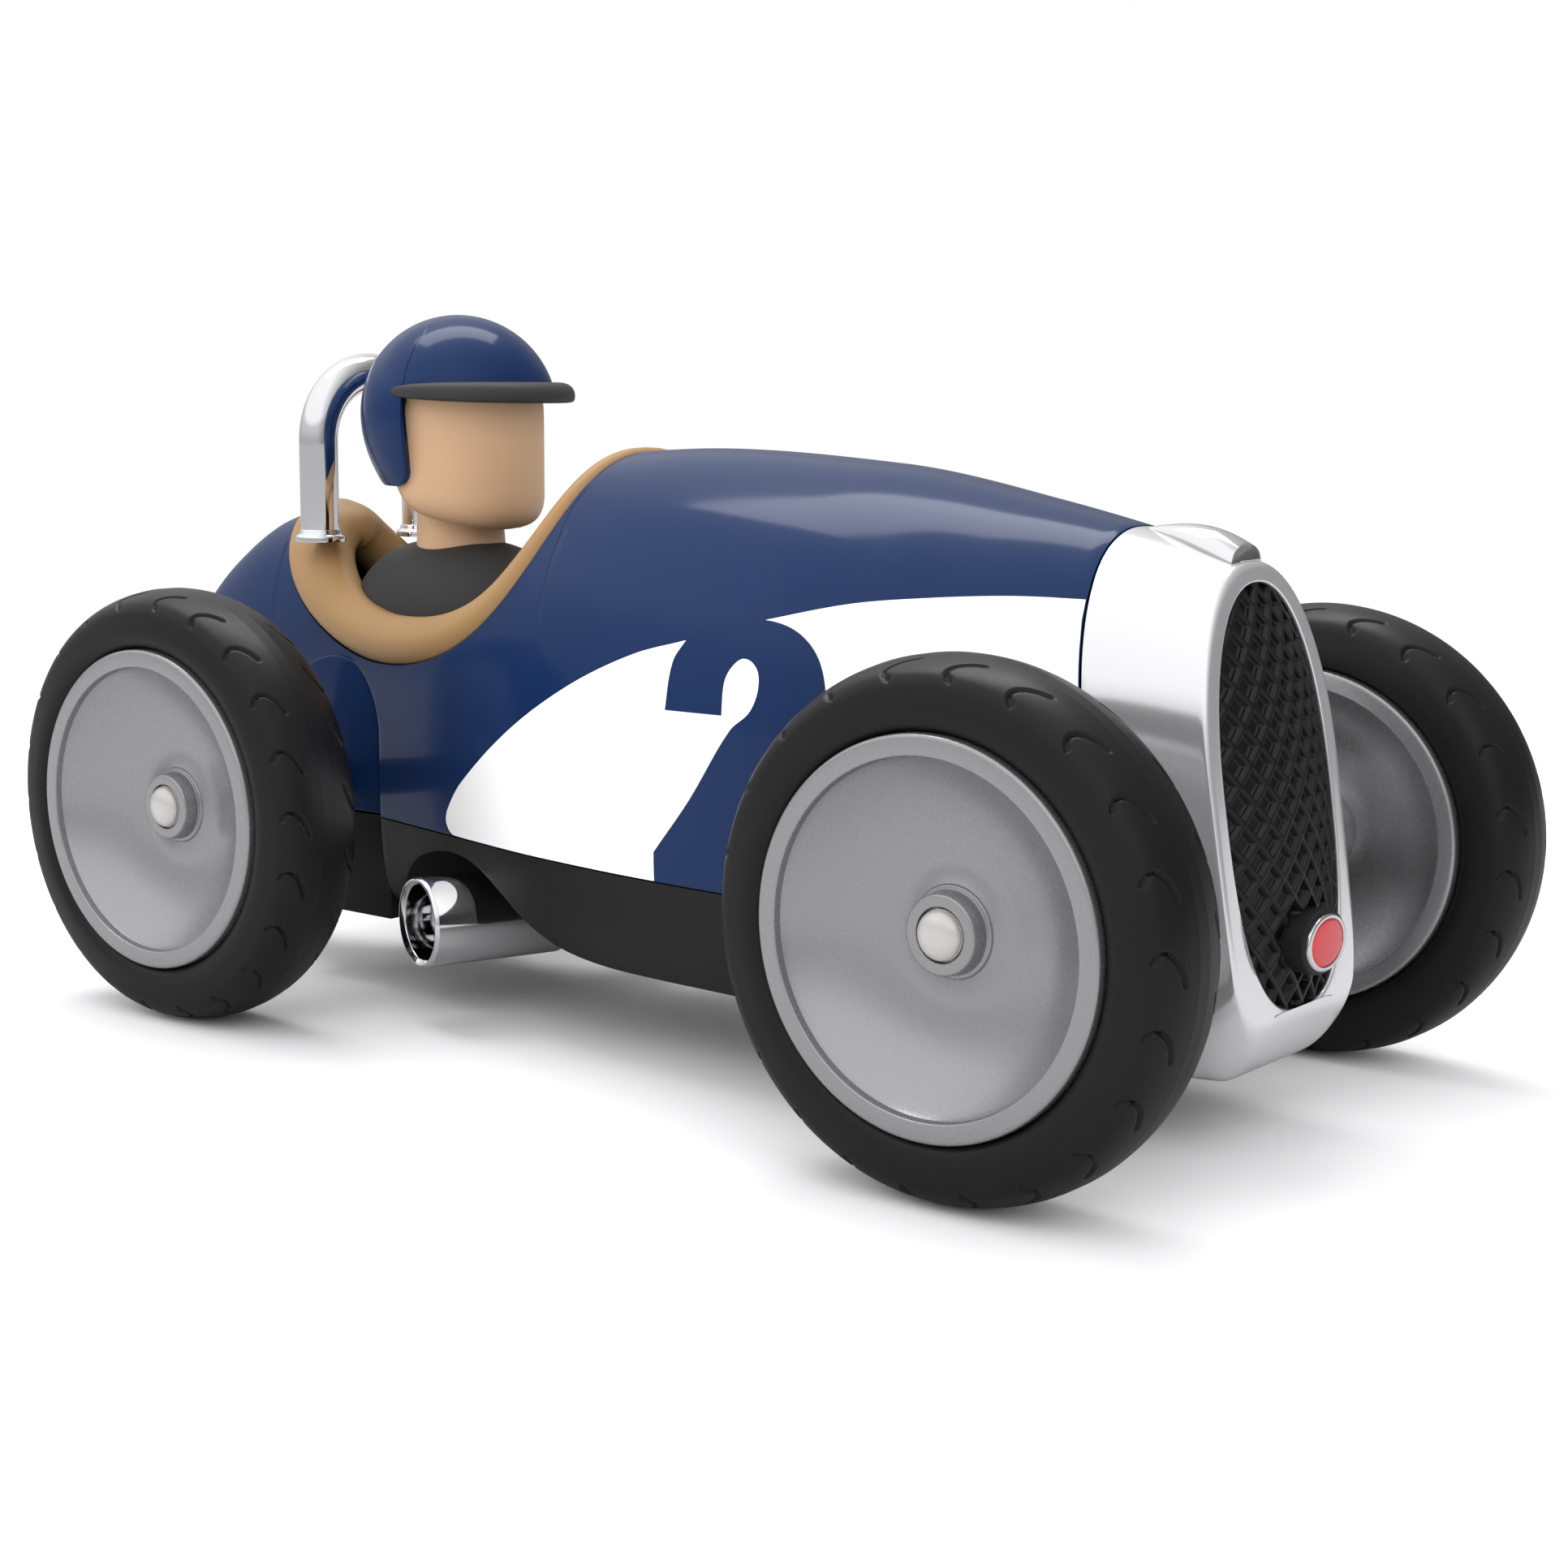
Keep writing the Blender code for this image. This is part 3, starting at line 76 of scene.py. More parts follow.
NOSE_OVERHANG = 0.030
BODY_LENGTH = FRONT_X + NOSE_OVERHANG - TAIL_X
BODY_WIDTH = 0.0744
HOOD_HEIGHT = 0.1062
WAIST_HEIGHT = 0.056
PARTING_HEIGHT = 0.0344
UNDERSIDE_HEIGHT = 0.0132
BODY_PLAN = (
    (0.0, 0.03), (0.043, 0.14), (0.10, 0.253), (0.186, 0.382), (0.271, 0.495), (0.414, 0.731),
    (0.514, 0.892), (0.614, 0.978), (0.686, 1.0), (0.757, 0.957), (0.814, 0.86), (0.886, 0.688),
    (0.957, 0.57), (1.0, 0.527),
)
BODY_CROWN = (
    (0.0, 0.43), (0.04, 0.615), (0.10, 0.765), (0.16, 0.849), (0.24, 0.893), (0.33, 0.94),
    (0.44, 0.977), (0.57, 1.0), (0.70, 0.983), (0.81, 0.936), (0.93, 0.866), (1.0, 0.81),
)
BODY_KEEL = (
    (0.0, 0.72), (0.043, 0.364), (0.10, 0.178), (0.186, 0.065), (0.271, 0.028), (0.414, 0.0),
    (0.88, 0.0), (0.94, -0.045), (0.96, -0.04), (0.985, 0.10), (1.0, 0.35),
)
CROWN_POWER = 2.2
KEEL_POWER = 5.0
KEEL_FLAT = 0.0006
WAIST_SHARE = 0.62
NOSE_RAKE = 0.158
RAKE_FROM = 0.52
SEAM_AHEAD = 0.0014
GRILLE_AHEAD = 0.0208
SEAM_X = FRONT_X + SEAM_AHEAD
GRILLE_X = FRONT_X + GRILLE_AHEAD
SEAM_GAP = 0.0003
COCKPIT = (0.178, 0.325, 0.505)
COCKPIT_LOW_HEIGHT = 0.0643
OPENING_HALF_WIDTH = 0.0172
OPENING_TOP_HEIGHT = 0.0876
OPENING_BOTTOM_HEIGHT = 0.0222
OPENING_CROWN_POWER = 2.2
OPENING_KEEL_POWER = 2.8
RING_STEPS = 56
DRIVER_SHARE = 0.3264
DRIVER_X = TAIL_X + DRIVER_SHARE * BODY_LENGTH
HOOP_BEHIND_DRIVER = 0.0258
HOOP_X = DRIVER_X - HOOP_BEHIND_DRIVER
HOOP_RADIUS = 0.0136
HOOP_TUBE = 0.0076
HEAD_RADIUS = 0.0164
HEAD_CENTRE_HEIGHT = 0.1116
EXHAUST_SWEEP = math.radians(19.0)
ARCH_SWEEP = math.radians(26.0)
DISC_RADIUS = 0.0294
MERGE_WITHIN = 2e-6


def smooth_curve(points):
    """A curve through an outline's points that doesn't overshoot them."""
    steps = [(b[1] - a[1]) / (b[0] - a[0]) for a, b in zip(points, points[1:])]
    slopes = [steps[0]]
    for before, after in zip(steps, steps[1:]):
        slopes.append(2 * before * after / (before + after) if before * after > 0 else 0.0)
    slopes.append(steps[-1])

    def height(x):
        i = max(k for k in range(len(points) - 1) if k == 0 or points[k][0] <= x)
        width = points[i + 1][0] - points[i][0]
        t = min(max((x - points[i][0]) / width, 0.0), 1.0)
        start = (1 + 2 * t) * (1 - t) ** 2 * points[i][1] + t * (1 - t) ** 2 * width * slopes[i]
        end = t * t * (3 - 2 * t) * points[i + 1][1] - t * t * (1 - t) * width * slopes[i + 1]
        return start + end

    return height


plan, crown, keel = (smooth_curve(outline) for outline in (BODY_PLAN, BODY_CROWN, BODY_KEEL))


def spread(low, high, count):
    return [low + (high - low) * i / count for i in range(count + 1)]


def ease(t):
    t = min(max(t, 0.0), 1.0)
    return t * t * (3 - 2 * t)


def station(share):
    return TAIL_X + share * BODY_LENGTH


def section(x, inset=0.0):
    """Half-width, crown, keel and waist of the body at x."""
    share = (x - TAIL_X) / BODY_LENGTH
    half = BODY_WIDTH / 2 * plan(share) - inset
    top = HOOD_HEIGHT * crown(share) - inset
    bottom = UNDERSIDE_HEIGHT + (WAIST_HEIGHT - UNDERSIDE_HEIGHT) * keel(share) + inset
    return half, top, bottom, min(WAIST_HEIGHT, bottom + WAIST_SHARE * (top - bottom))


def lean(x):
    start = station(RAKE_FROM)
    return NOSE_RAKE * ease((x - start) / (SEAM_X - start))


def half_width(x, z):
    half, top, bottom, waist = section(x)
    if z >= waist:
        share, power = (z - waist) / (top - waist), CROWN_POWER
    else:
        share, power = (waist - z) / (waist - bottom + KEEL_FLAT), KEEL_POWER
    return half * (1 - min(share, 1.0) ** power) ** (1 / power)


def skin_point(x, angle, inset=0.0):
    """A point of the right-hand skin: angle -90 degrees is the keel, 0 the waist, 90 degrees the crown."""
    z = WAIST_HEIGHT
    for _ in range(8):
        along = x + lean(x) * (WAIST_HEIGHT - z)
        half, top, bottom, waist = section(along, inset)
        power = CROWN_POWER if angle >= 0 else KEEL_POWER
        reach = top - waist if angle >= 0 else waist - bottom + KEEL_FLAT
        z = waist + math.copysign(reach * abs(math.sin(angle)) ** (2 / power), angle)
    side = half * max(math.cos(angle), 0.0) ** (2 / power)
    return Vector((along, -side, max(z, bottom)))


def angle_at(x, z):
    """The skin angle at a height."""
    _, top, bottom, waist = section(x + lean(x) * (WAIST_HEIGHT - z))
    if z >= waist:
        return math.asin(min((z - waist) / (top - waist), 1.0) ** (CROWN_POWER / 2))
    if z <= bottom:
        return -math.pi / 2
    return -math.asin(((waist - z) / (waist - bottom + KEEL_FLAT)) ** (KEEL_POWER / 2))


def cockpit_edge(angle):
    """The cut edge in side view: two quarter ellipses that meet at the opening's lowest point."""
    rear, lowest, front = (station(share) for share in COCKPIT)
    x = lowest + (lowest - rear if angle < 0 else front - lowest) * math.sin(angle)
    top = section(x)[1]
    return x, COCKPIT_LOW_HEIGHT + (top - COCKPIT_LOW_HEIGHT) * (1 - math.cos(angle))


# ---- Modelling helpers --------------------------------------------------------------------------


def deselect():
    if bpy.context.object and bpy.context.object.mode != "OBJECT":
        bpy.ops.object.mode_set(mode="OBJECT")
    bpy.ops.object.select_all(action="DESELECT")


def pick(obj):
    deselect()
    obj.select_set(True)
    bpy.context.view_layer.objects.active = obj


def edit(obj):
    pick(obj)
    bpy.ops.object.mode_set(mode="EDIT")
    bpy.ops.mesh.select_all(action="SELECT")


def tidy(obj, fill=False):
    """Merges what meets, drops what is loose, fills open ends if asked, and turns every face outwards."""
    edit(obj)
    bpy.ops.mesh.remove_doubles(threshold=MERGE_WITHIN)
    bpy.ops.mesh.delete_loose()
    if fill:
        bpy.ops.mesh.select_all(action="SELECT")
        bpy.ops.mesh.fill_holes(sides=0)
    bpy.ops.mesh.select_all(action="SELECT")
    bpy.ops.mesh.normals_make_consistent(inside=False)
    bpy.ops.object.mode_set(mode="OBJECT")
    if signed_volume(obj) < 0:
        flip(obj)
    return obj


def flip(obj):
    edit(obj)
    bpy.ops.mesh.flip_normals()
    bpy.ops.object.mode_set(mode="OBJECT")


def signed_volume(obj):
    mesh = obj.data
    mesh.calc_loop_triangles()
    corners = np.empty(len(mesh.loop_triangles) * 3, np.int32)
    mesh.loop_triangles.foreach_get("vertices", corners)
    points = np.empty(len(mesh.vertices) * 3, np.float32)
    mesh.vertices.foreach_get("co", points)
    a, b, c = points.reshape(-1, 3)[corners.reshape(-1, 3)].astype(float).transpose(1, 0, 2)
    return float((a * np.cross(b, c)).sum() / 6)


def set_points(obj, points):
    obj.data.vertices.foreach_set("co", np.asarray(points, np.float32).ravel())
    obj.data.update()


def outlined(name, points, fill="NGON"):
    """A flat shape through the given points: one face, or an open line where fill is NOTHING."""
    deselect()
    bpy.ops.mesh.primitive_circle_add(vertices=len(points), radius=1.0, fill_type=fill)
    obj = bpy.context.object
    obj.name = name
    set_points(obj, points)
    return obj


def laid(name, columns, rows, place):
    """A grid laid on a form: place gives the point at shares u and v of its two directions."""
    deselect()
    bpy.ops.mesh.primitive_grid_add(x_subdivisions=columns, y_subdivisions=rows, size=1.0)
    obj = bpy.context.object
    obj.name = name
    flat = np.empty(len(obj.data.vertices) * 3, np.float32)
    obj.data.vertices.foreach_get("co", flat)
    shares = flat.reshape(-1, 3)[:, :2] + 0.5
    steps = np.round(shares * (columns, rows)).astype(int)
    found = {}
    for i, j in {tuple(step) for step in steps}:
        found[(i, j)] = place(i / columns, j / rows)
    set_points(obj, [found[tuple(step)] for step in steps])
    return obj


def swept(name, rings, closed=False):
    """A grid laid through rings of points, whose ends are filled unless the rings close on themselves."""
    count, around = len(rings), len(rings[0])
    columns = count if closed else count - 1

    def place(u, v):
        return rings[round(u * columns) % count][round(v * around) % around]

    return tidy(laid(name, columns, around, place), fill=not closed)


def rounded(corners, steps=4):
    """A closed profile of (radius, height, fillet) corners with each fillet drawn as an arc."""
    points = []
    count = len(corners)
    for i, (r, h, fillet) in enumerate(corners):
        here = Vector((r, h))
        back = Vector(corners[i - 1][:2]) - here
        ahead = Vector(corners[(i + 1) % count][:2]) - here
        if not fillet or back.length < 1e-7 or ahead.length < 1e-7:
            points.append((r, h))
            continue
        half = back.angle(ahead) / 2
        run = min(fillet / math.tan(half), back.length * 0.48, ahead.length * 0.48)
        start, end = here + back.normalized() * run, here + ahead.normalized() * run
        for t in spread(0, 1, steps):
            points.append(tuple(start * (1 - t) ** 2 + here * 2 * t * (1 - t) + end * t * t))
    return points


def to_axis(towards, at):
    """The matrix that stands a piece modelled along Z on a place and a direction."""
    z = Vector(towards).normalized()
    up = Vector((0, 0, 1))
    y = up - z * up.dot(z)
    if y.length < 1e-6:
        y = Vector((0, 1, 0))
    y.normalize()
    turn = Matrix((y.cross(z), y, z)).transposed()
    return Matrix.Translation(at) @ turn.to_4x4()


def spun(name, profile, towards=(0, 0, 1), at=(0, 0, 0), steps=96):
    """A closed profile of (radius, height) points spun round an axis."""
    obj = outlined(name, [(r, 0.0, h) for r, h in profile], "NOTHING")
    edit(obj)
    bpy.ops.mesh.spin(steps=steps, angle=2 * math.pi, center=(0, 0, 0), axis=(0, 0, 1))
    tidy(obj)
    obj.data.transform(to_axis(towards, at))
    return obj


def apply_modifier(obj, kind, **settings):
    pick(obj)
    modifier = obj.modifiers.new(kind.lower(), kind)
    for key, value in settings.items():
        setattr(modifier, key, value)
    bpy.ops.object.modifier_apply(modifier=modifier.name)


def soften(obj, width, segments=3, angle=40):
    apply_modifier(
        obj, "BEVEL", width=width, segments=segments, limit_method="ANGLE",
        angle_limit=math.radians(angle), use_clamp_overlap=True,
    )


def boolean(obj, cutter):
    """Cuts the cutter away. It is MANIFOLD because EXACT joins the arch cutter to the pan instead."""
    apply_modifier(obj, "BOOLEAN", operation="DIFFERENCE", solver="MANIFOLD", object=cutter)
    bpy.data.objects.remove(cutter, do_unlink=True)


def copied(obj, name, matrix):
    pick(obj)
    bpy.ops.object.duplicate(linked=False)
    twin = bpy.context.object
    twin.name = name
    twin.data.transform(matrix)
    return twin


def settle(obj, material, body, slot, *nodes, angle=35):
    """The finished piece: smooth shading, material, the body it rides on and what it stands for."""
    pick(obj)
    bpy.ops.object.transform_apply(location=True, rotation=True, scale=True)
    bpy.ops.object.shade_smooth_by_angle(angle=math.radians(angle))
    obj.data.materials.clear()
    obj.data.materials.append(material)
    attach(obj, body)
    if nodes:
        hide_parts(*nodes)
    return obj


# ---- Materials ----------------------------------------------------------------------------------


def srgb(red, green, blue):
    """A colour given as 0 to 255 on a screen, in linear light."""
    return tuple(
        c / 12.92 if c <= 0.04045 else ((c + 0.055) / 1.055) ** 2.4
        for c in (red / 255, green / 255, blue / 255)
    )


class Nodes:
    """Short ways to add and link the nodes of a tree."""

    def __init__(self, tree):
        self.tree = tree

    def node(self, kind, **settings):
        made = self.tree.nodes.new(kind)
        for key, value in settings.items():
            setattr(made, key, value)
        return made

    def link(self, source, socket):
        self.tree.links.new(source, socket)

    def mapped(self, source, low, high, start=0.3, end=0.7):
        made = self.node("ShaderNodeMapRange")
        made.inputs["From Min"].default_value = start
        made.inputs["From Max"].default_value = end
        made.inputs["To Min"].default_value = low
        made.inputs["To Max"].default_value = high
        self.link(source, made.inputs["Value"])
        return made.outputs["Result"]

    def mixed(self, factor, first, second):
        made = self.node("ShaderNodeMix", data_type="RGBA")
        self.link(factor, made.inputs[0])
        self.link(first, made.inputs[6])
        if isinstance(second, tuple):
            made.inputs[7].default_value = second
        else:
            self.link(second, made.inputs[7])
        return made.outputs[2]


class Finish(Nodes):
    """A procedural material: a Principled shader with cloudy colour, uneven gloss and fine grain."""

    def __init__(
        self, name, colour, roughness, metallic=0.0, coat=0.0, coat_roughness=0.03, specular=0.5
    ):
        self.material = bpy.data.materials.new(name)
        self.material.use_nodes = True
        super().__init__(self.material.node_tree)
        self.shader = self.tree.nodes["Principled BSDF"]
        self.colour = (*colour, 1.0)
        sockets = self.shader.inputs
        sockets["Base Color"].default_value = self.colour
        sockets["Roughness"].default_value = roughness
        sockets["Metallic"].default_value = metallic
        sockets["Specular IOR Level"].default_value = specular
        sockets["Coat Weight"].default_value = coat
        sockets["Coat Roughness"].default_value = coat_roughness
        self.roughness = roughness
        self.place = self.node("ShaderNodeTexCoord").outputs["Object"]

    def noise(self, scale, detail, roughness=0.5):
        made = self.node("ShaderNodeTexNoise")
        made.inputs["Scale"].default_value = scale
        made.inputs["Detail"].default_value = detail
        made.inputs["Roughness"].default_value = roughness
        self.link(self.place, made.inputs["Vector"])
        return made.outputs["Fac"]

    def lit_by(self, value):
        """Makes the colour lighter or darker by a value that varies from place to place."""
        tint = self.node("ShaderNodeHueSaturation")
        tint.inputs["Color"].default_value = self.colour
        self.link(value, tint.inputs["Value"])
        self.link(tint.outputs["Color"], self.shader.inputs["Base Color"])

    def clouds(self, scale, amount):
        """Lets the colour drift a little lighter and darker."""
        self.lit_by(self.mapped(self.noise(scale, 3.0), 1 - amount, 1 + amount))
        return self

    def patches(self, scale, amount):
        """Lets the gloss vary from place to place."""
        middle = self.shader.inputs["Roughness"].default_value
        value = self.mapped(self.noise(scale, 5.0, 0.6), max(middle - amount, 0.0), middle + amount)
        self.link(value, self.shader.inputs["Roughness"])
        return self

    def grain(self, scale, depth, strength=0.3):
        """A fine relief of the given depth in metres."""
        bump = self.node("ShaderNodeBump")
        bump.inputs["Strength"].default_value = strength
        bump.inputs["Distance"].default_value = depth
        self.link(self.noise(scale, 3.0), bump.inputs["Height"])
        self.link(bump.outputs["Normal"], self.shader.inputs["Normal"])
        return self

    def flakes(self, scale, amount):
        """Metal flakes: each cell of a fine mosaic shines a little differently."""
        cells = self.node("ShaderNodeTexVoronoi")
        cells.inputs["Scale"].default_value = scale
        self.link(self.place, cells.inputs["Vector"])
        shares = self.node("ShaderNodeSeparateColor")
        self.link(cells.outputs["Color"], shares.inputs["Color"])
        self.lit_by(self.mapped(shares.outputs["Red"], 1 - amount, 1 + amount, 0.0, 1.0))
        smooth, coarse = self.roughness - 0.06, self.roughness + 0.08
        rough = self.mapped(shares.outputs["Green"], smooth, coarse, 0.0, 1.0)
        self.link(rough, self.shader.inputs["Roughness"])
        return self


MATERIALS = {}


def make_materials():
    looks = bpy.context.scene.toy_car_colours
    made = {
        "blue": Finish("navy_gloss", looks.body, 0.40, coat=0.4, coat_roughness=0.12, specular=0.06)
        .clouds(18, 0.03).grain(900, 0.00002, 0.10),
        "white": Finish("white_gloss", looks.flank, 0.30, coat=0.4, coat_roughness=0.13, specular=0.3)
        .clouds(25, 0.01).grain(900, 0.00002, 0.10),
        "black": Finish("black_satin", looks.chassis, 0.44, specular=0.24)
        .clouds(40, 0.08).patches(60, 0.04).grain(1800, 0.00003, 0.25),
        "dark": Finish("black_matt", srgb(24, 24, 25), 0.50, specular=0.3).clouds(60, 0.1).patches(90, 0.05)
        .grain(2400, 0.00003, 0.3),
        "grille": Finish("grille_black", srgb(14, 14, 16), 0.34, specular=0.36)
        .clouds(90, 0.1).patches(120, 0.05).grain(2600, 0.00002, 0.2),
        "silver": Finish("silver_lacquer", looks.nose, 0.15, metallic=0.78, coat=0.8, coat_roughness=0.06)
        .clouds(15, 0.015).patches(30, 0.015).grain(1100, 0.00001, 0.08),
        "wheel": Finish("wheel_silver", looks.wheels, 0.30, metallic=0.85, coat=0.1, coat_roughness=0.25)
        .flakes(9000, 0.02).grain(3000, 0.000004, 0.15),
        "chrome": Finish("chrome_plate", (0.86, 0.86, 0.87), 0.045, metallic=1.0).patches(45, 0.015)
        .grain(500, 0.00001, 0.05),
        "tan": Finish("tan_satin", looks.rim, 0.46, specular=0.3).clouds(30, 0.05).patches(50, 0.05)
        .grain(1500, 0.00004, 0.22),
        "torso": Finish("charcoal_matt", looks.torso, 0.58, specular=0.3).clouds(50, 0.06).patches(80, 0.05)
        .grain(2200, 0.00005, 0.35),
        "skin": Finish("figure_tan", looks.skin, 0.50, specular=0.3).clouds(35, 0.03).patches(60, 0.04)
        .grain(1600, 0.00003, 0.18),
        "rubber": Finish("tyre_rubber", looks.tyres, 0.42, specular=0.28).clouds(60, 0.10).patches(70, 0.05)
        .grain(2600, 0.00003, 0.25),
        "pearl": Finish("pearl_cap", srgb(192, 189, 186), 0.24, metallic=0.35, coat=0.6).clouds(120, 0.03)
        .grain(1500, 0.00001, 0.1),
        "steel": Finish("steel_wire", srgb(160, 160, 162), 0.30, metallic=1.0).patches(200, 0.06)
        .grain(3500, 0.00002, 0.2),
        "nylon": Finish("nylon", srgb(225, 222, 210), 0.48).clouds(200, 0.03).grain(3000, 0.00002, 0.2),
        "red": Finish("badge_enamel", looks.badge, 0.22, coat=0.6)
        .clouds(400, 0.04).grain(1800, 0.00001, 0.1),
    }
    MATERIALS.update({key: finish.material for key, finish in made.items()})


# ---- Settings -----------------------------------------------------------------------------------


def colour_setting(name, description, default):
    return bpy.props.FloatVectorProperty(
        name=name, description=description, default=default, subtype="COLOR", min=0.0, max=1.0
    )


class ToyCarColours(bpy.types.PropertyGroup):
    """Colours of the car's finishes."""

    body: colour_setting("Body", "Colour of the body and the helmet", srgb(13, 39, 80))
    flank: colour_setting("Flank", "Colour of the flank decals", srgb(250, 250, 250))
    chassis: colour_setting("Chassis", "Colour of the lower body", srgb(27, 26, 27))
    nose: colour_setting("Nose", "Colour of the nose shell", srgb(240, 240, 242))
    wheels: colour_setting("Wheels", "Colour of the wheel discs", srgb(168, 167, 169))
    tyres: colour_setting("Tyres", "Colour of the tyres", srgb(17, 16, 18))
    rim: colour_setting("Rim", "Colour of the cockpit rim", srgb(158, 124, 82))
    torso: colour_setting("Torso", "Colour of the driver's suit and visor", srgb(50, 50, 50))
    skin: colour_setting("Head", "Colour of the driver's head and neck", srgb(196, 160, 126))
    badge: colour_setting("Badge", "Colour of the badge", srgb(186, 30, 38))


class ToyCarSizes(bpy.types.PropertyGroup):
    """Sizes of the car's fine detail."""

    decal_lift: bpy.props.FloatProperty(
        name="Decal lift", description="How far the decals stand off the skin", default=0.00006,
        min=0.00002, max=0.0005, subtype="DISTANCE", unit="LENGTH", precision=5,
    )
    sipes: bpy.props.IntProperty(
        name="Sipes", description="Hook-shaped grooves round each shoulder of a tyre", default=22,
        min=8, max=40,
    )
    sipe_depth: bpy.props.FloatProperty(
        name="Sipe depth", description="Depth of the tyre's grooves", default=0.00055, min=0.0, max=0.0015,
        subtype="DISTANCE", unit="LENGTH", precision=5,
    )
    rib_height: bpy.props.FloatProperty(
        name="Rib height", description="How far the grille's ribs stand up", default=0.0012, min=0.0,
        max=0.002, subtype="DISTANCE", unit="LENGTH", precision=5,
    )


# ---- Body, decals, chassis ----------------------------------------------------------------------

# Outlines in side view are in wheel radii, measured from under the rear hub.
DECAL_X = REAR_X
UNIT = WHEEL_RADIUS
DECAL_THICKNESS = 0.00005
DECAL_PITCH = 0.0022
NUMERAL_MIDDLE = 2.887
SWOOSH = (
    (4.30, 2.124), (3.997, 2.129), (3.689, 2.112), (3.359, 2.076), (2.982, 1.994), (2.80, 1.951),
    (2.586, 1.889), (2.291, 1.811), (1.895, 1.645), (1.439, 1.386), (1.078, 1.122), (0.965, 0.990),
    (0.945, 0.925), (0.985, 0.873), (1.060, 0.8645), (4.50, 0.8645),
)
NUMERAL = (
    (2.586, 1.889), (2.78, 1.970), (2.982, 1.994), (3.15, 1.955), (3.27, 1.855), (3.325, 1.70),
    (3.30, 1.545), (3.215, 1.400), (3.075, 1.235), (2.975, 1.090), (3.33, 1.090), (3.33, 0.80), (2.445, 0.80),
    (2.445, 0.989), (2.655, 1.237), (2.873, 1.544), (2.965, 1.620), (3.000, 1.700), (2.995, 1.780),
    (2.955, 1.825), (2.903, 1.835), (2.855, 1.800), (2.824, 1.738), (2.823, 1.600), (2.508, 1.596),
    (2.529, 1.798),
)
NUMERAL_CORNERS = {0, 9, 10, 11, 12, 13, 23, 24}
SWOOSH_CORNERS = {0, 14, 15}


def softened(outline, corners, steps=6):
    """The outline as a smooth line through its points, sharp only at the named corners."""
    count = len(outline)
    points = []
    for i in range(count):
        p0, p1, p2, p3 = (Vector(outline[(i + k) % count]) for k in (-1, 0, 1, 2))
        length = (p2 - p1).length
        straight = p2 - p1
        start = straight if i in corners else (p2 - p0) * (length / ((p1 - p0).length + length))
        end = straight if (i + 1) % count in corners else (p3 - p1) * (length / ((p3 - p2).length + length))
        for t in spread(0, 1, steps)[:-1]:
            h1, h2 = (1 + 2 * t) * (1 - t) ** 2, t * t * (3 - 2 * t)
            h3, h4 = t * (1 - t) ** 2, -t * t * (1 - t)
            points.append(p1 * h1 + p2 * h2 + start * h3 + end * h4)
    return points


def cut(at, normal, clear=False):
    """Cuts the faces in edit mode along a plane, and drops what lies beyond it if asked."""
    bpy.ops.mesh.select_all(action="SELECT")
    bpy.ops.mesh.bisect(plane_co=at, plane_no=normal, clear_outer=clear)


def flank_piece(name, outline, sign, lift):
    """A thin decal on the flank: its outline cut into small faces, then each point laid on the skin."""
    obj = outlined(name, [(DECAL_X + UNIT * x, 0.0, UNIT * z) for x, z in outline])
    xs = [DECAL_X + UNIT * p[0] for p in outline]
    zs = [UNIT * p[1] for p in outline]
    edit(obj)
    for low, high, normal in ((min(xs), max(xs), (1, 0, 0)), (min(zs), max(zs), (0, 0, 1))):
        for where in np.arange(low + DECAL_PITCH * 0.53, high, DECAL_PITCH):
            cut((where, 0, 0) if normal[0] else (0, 0, where), normal)
    cut((0, 0, PARTING_HEIGHT + SEAM_GAP / 2), (0, 0, -1), True)
    cut((SEAM_X - SEAM_GAP / 2 - 0.00012, 0, WAIST_HEIGHT), (1, 0, NOSE_RAKE), True)
    bpy.ops.object.mode_set(mode="OBJECT")
    points = []
    step = 0.0003
    for vert in obj.data.vertices:
        x, _, z = vert.co
        y = half_width(x, z)
        slope_x = (half_width(x + step, z) - half_width(x - step, z)) / (2 * step)
        slope_z = (half_width(x, z + step) - half_width(x, z - step)) / (2 * step)
        normal = Vector((-slope_x, 1, -slope_z)).normalized()
        place = Vector((x, y, z)) + normal * lift
        points.append((place.x, sign * place.y, place.z))
    set_points(obj, points)
    tidy(obj)
    if obj.data.polygons[0].normal.y * sign < 0:
        flip(obj)
    apply_modifier(obj, "SOLIDIFY", thickness=DECAL_THICKNESS, offset=-1.0)
    return obj


def body_stations():
    """Places along the body, close together where the cockpit's edge is steep."""
    rear, _, front = (station(share) for share in COCKPIT)
    places = [(x, None) for x in spread(TAIL_X, rear, 30)[:-1]]
    places += [(cockpit_edge(a)[0], a) for a in spread(-math.pi / 2, math.pi / 2, 72)]
    places += [(x, None) for x in spread(front, SEAM_X - SEAM_GAP / 2, 56)[1:]]
    return places


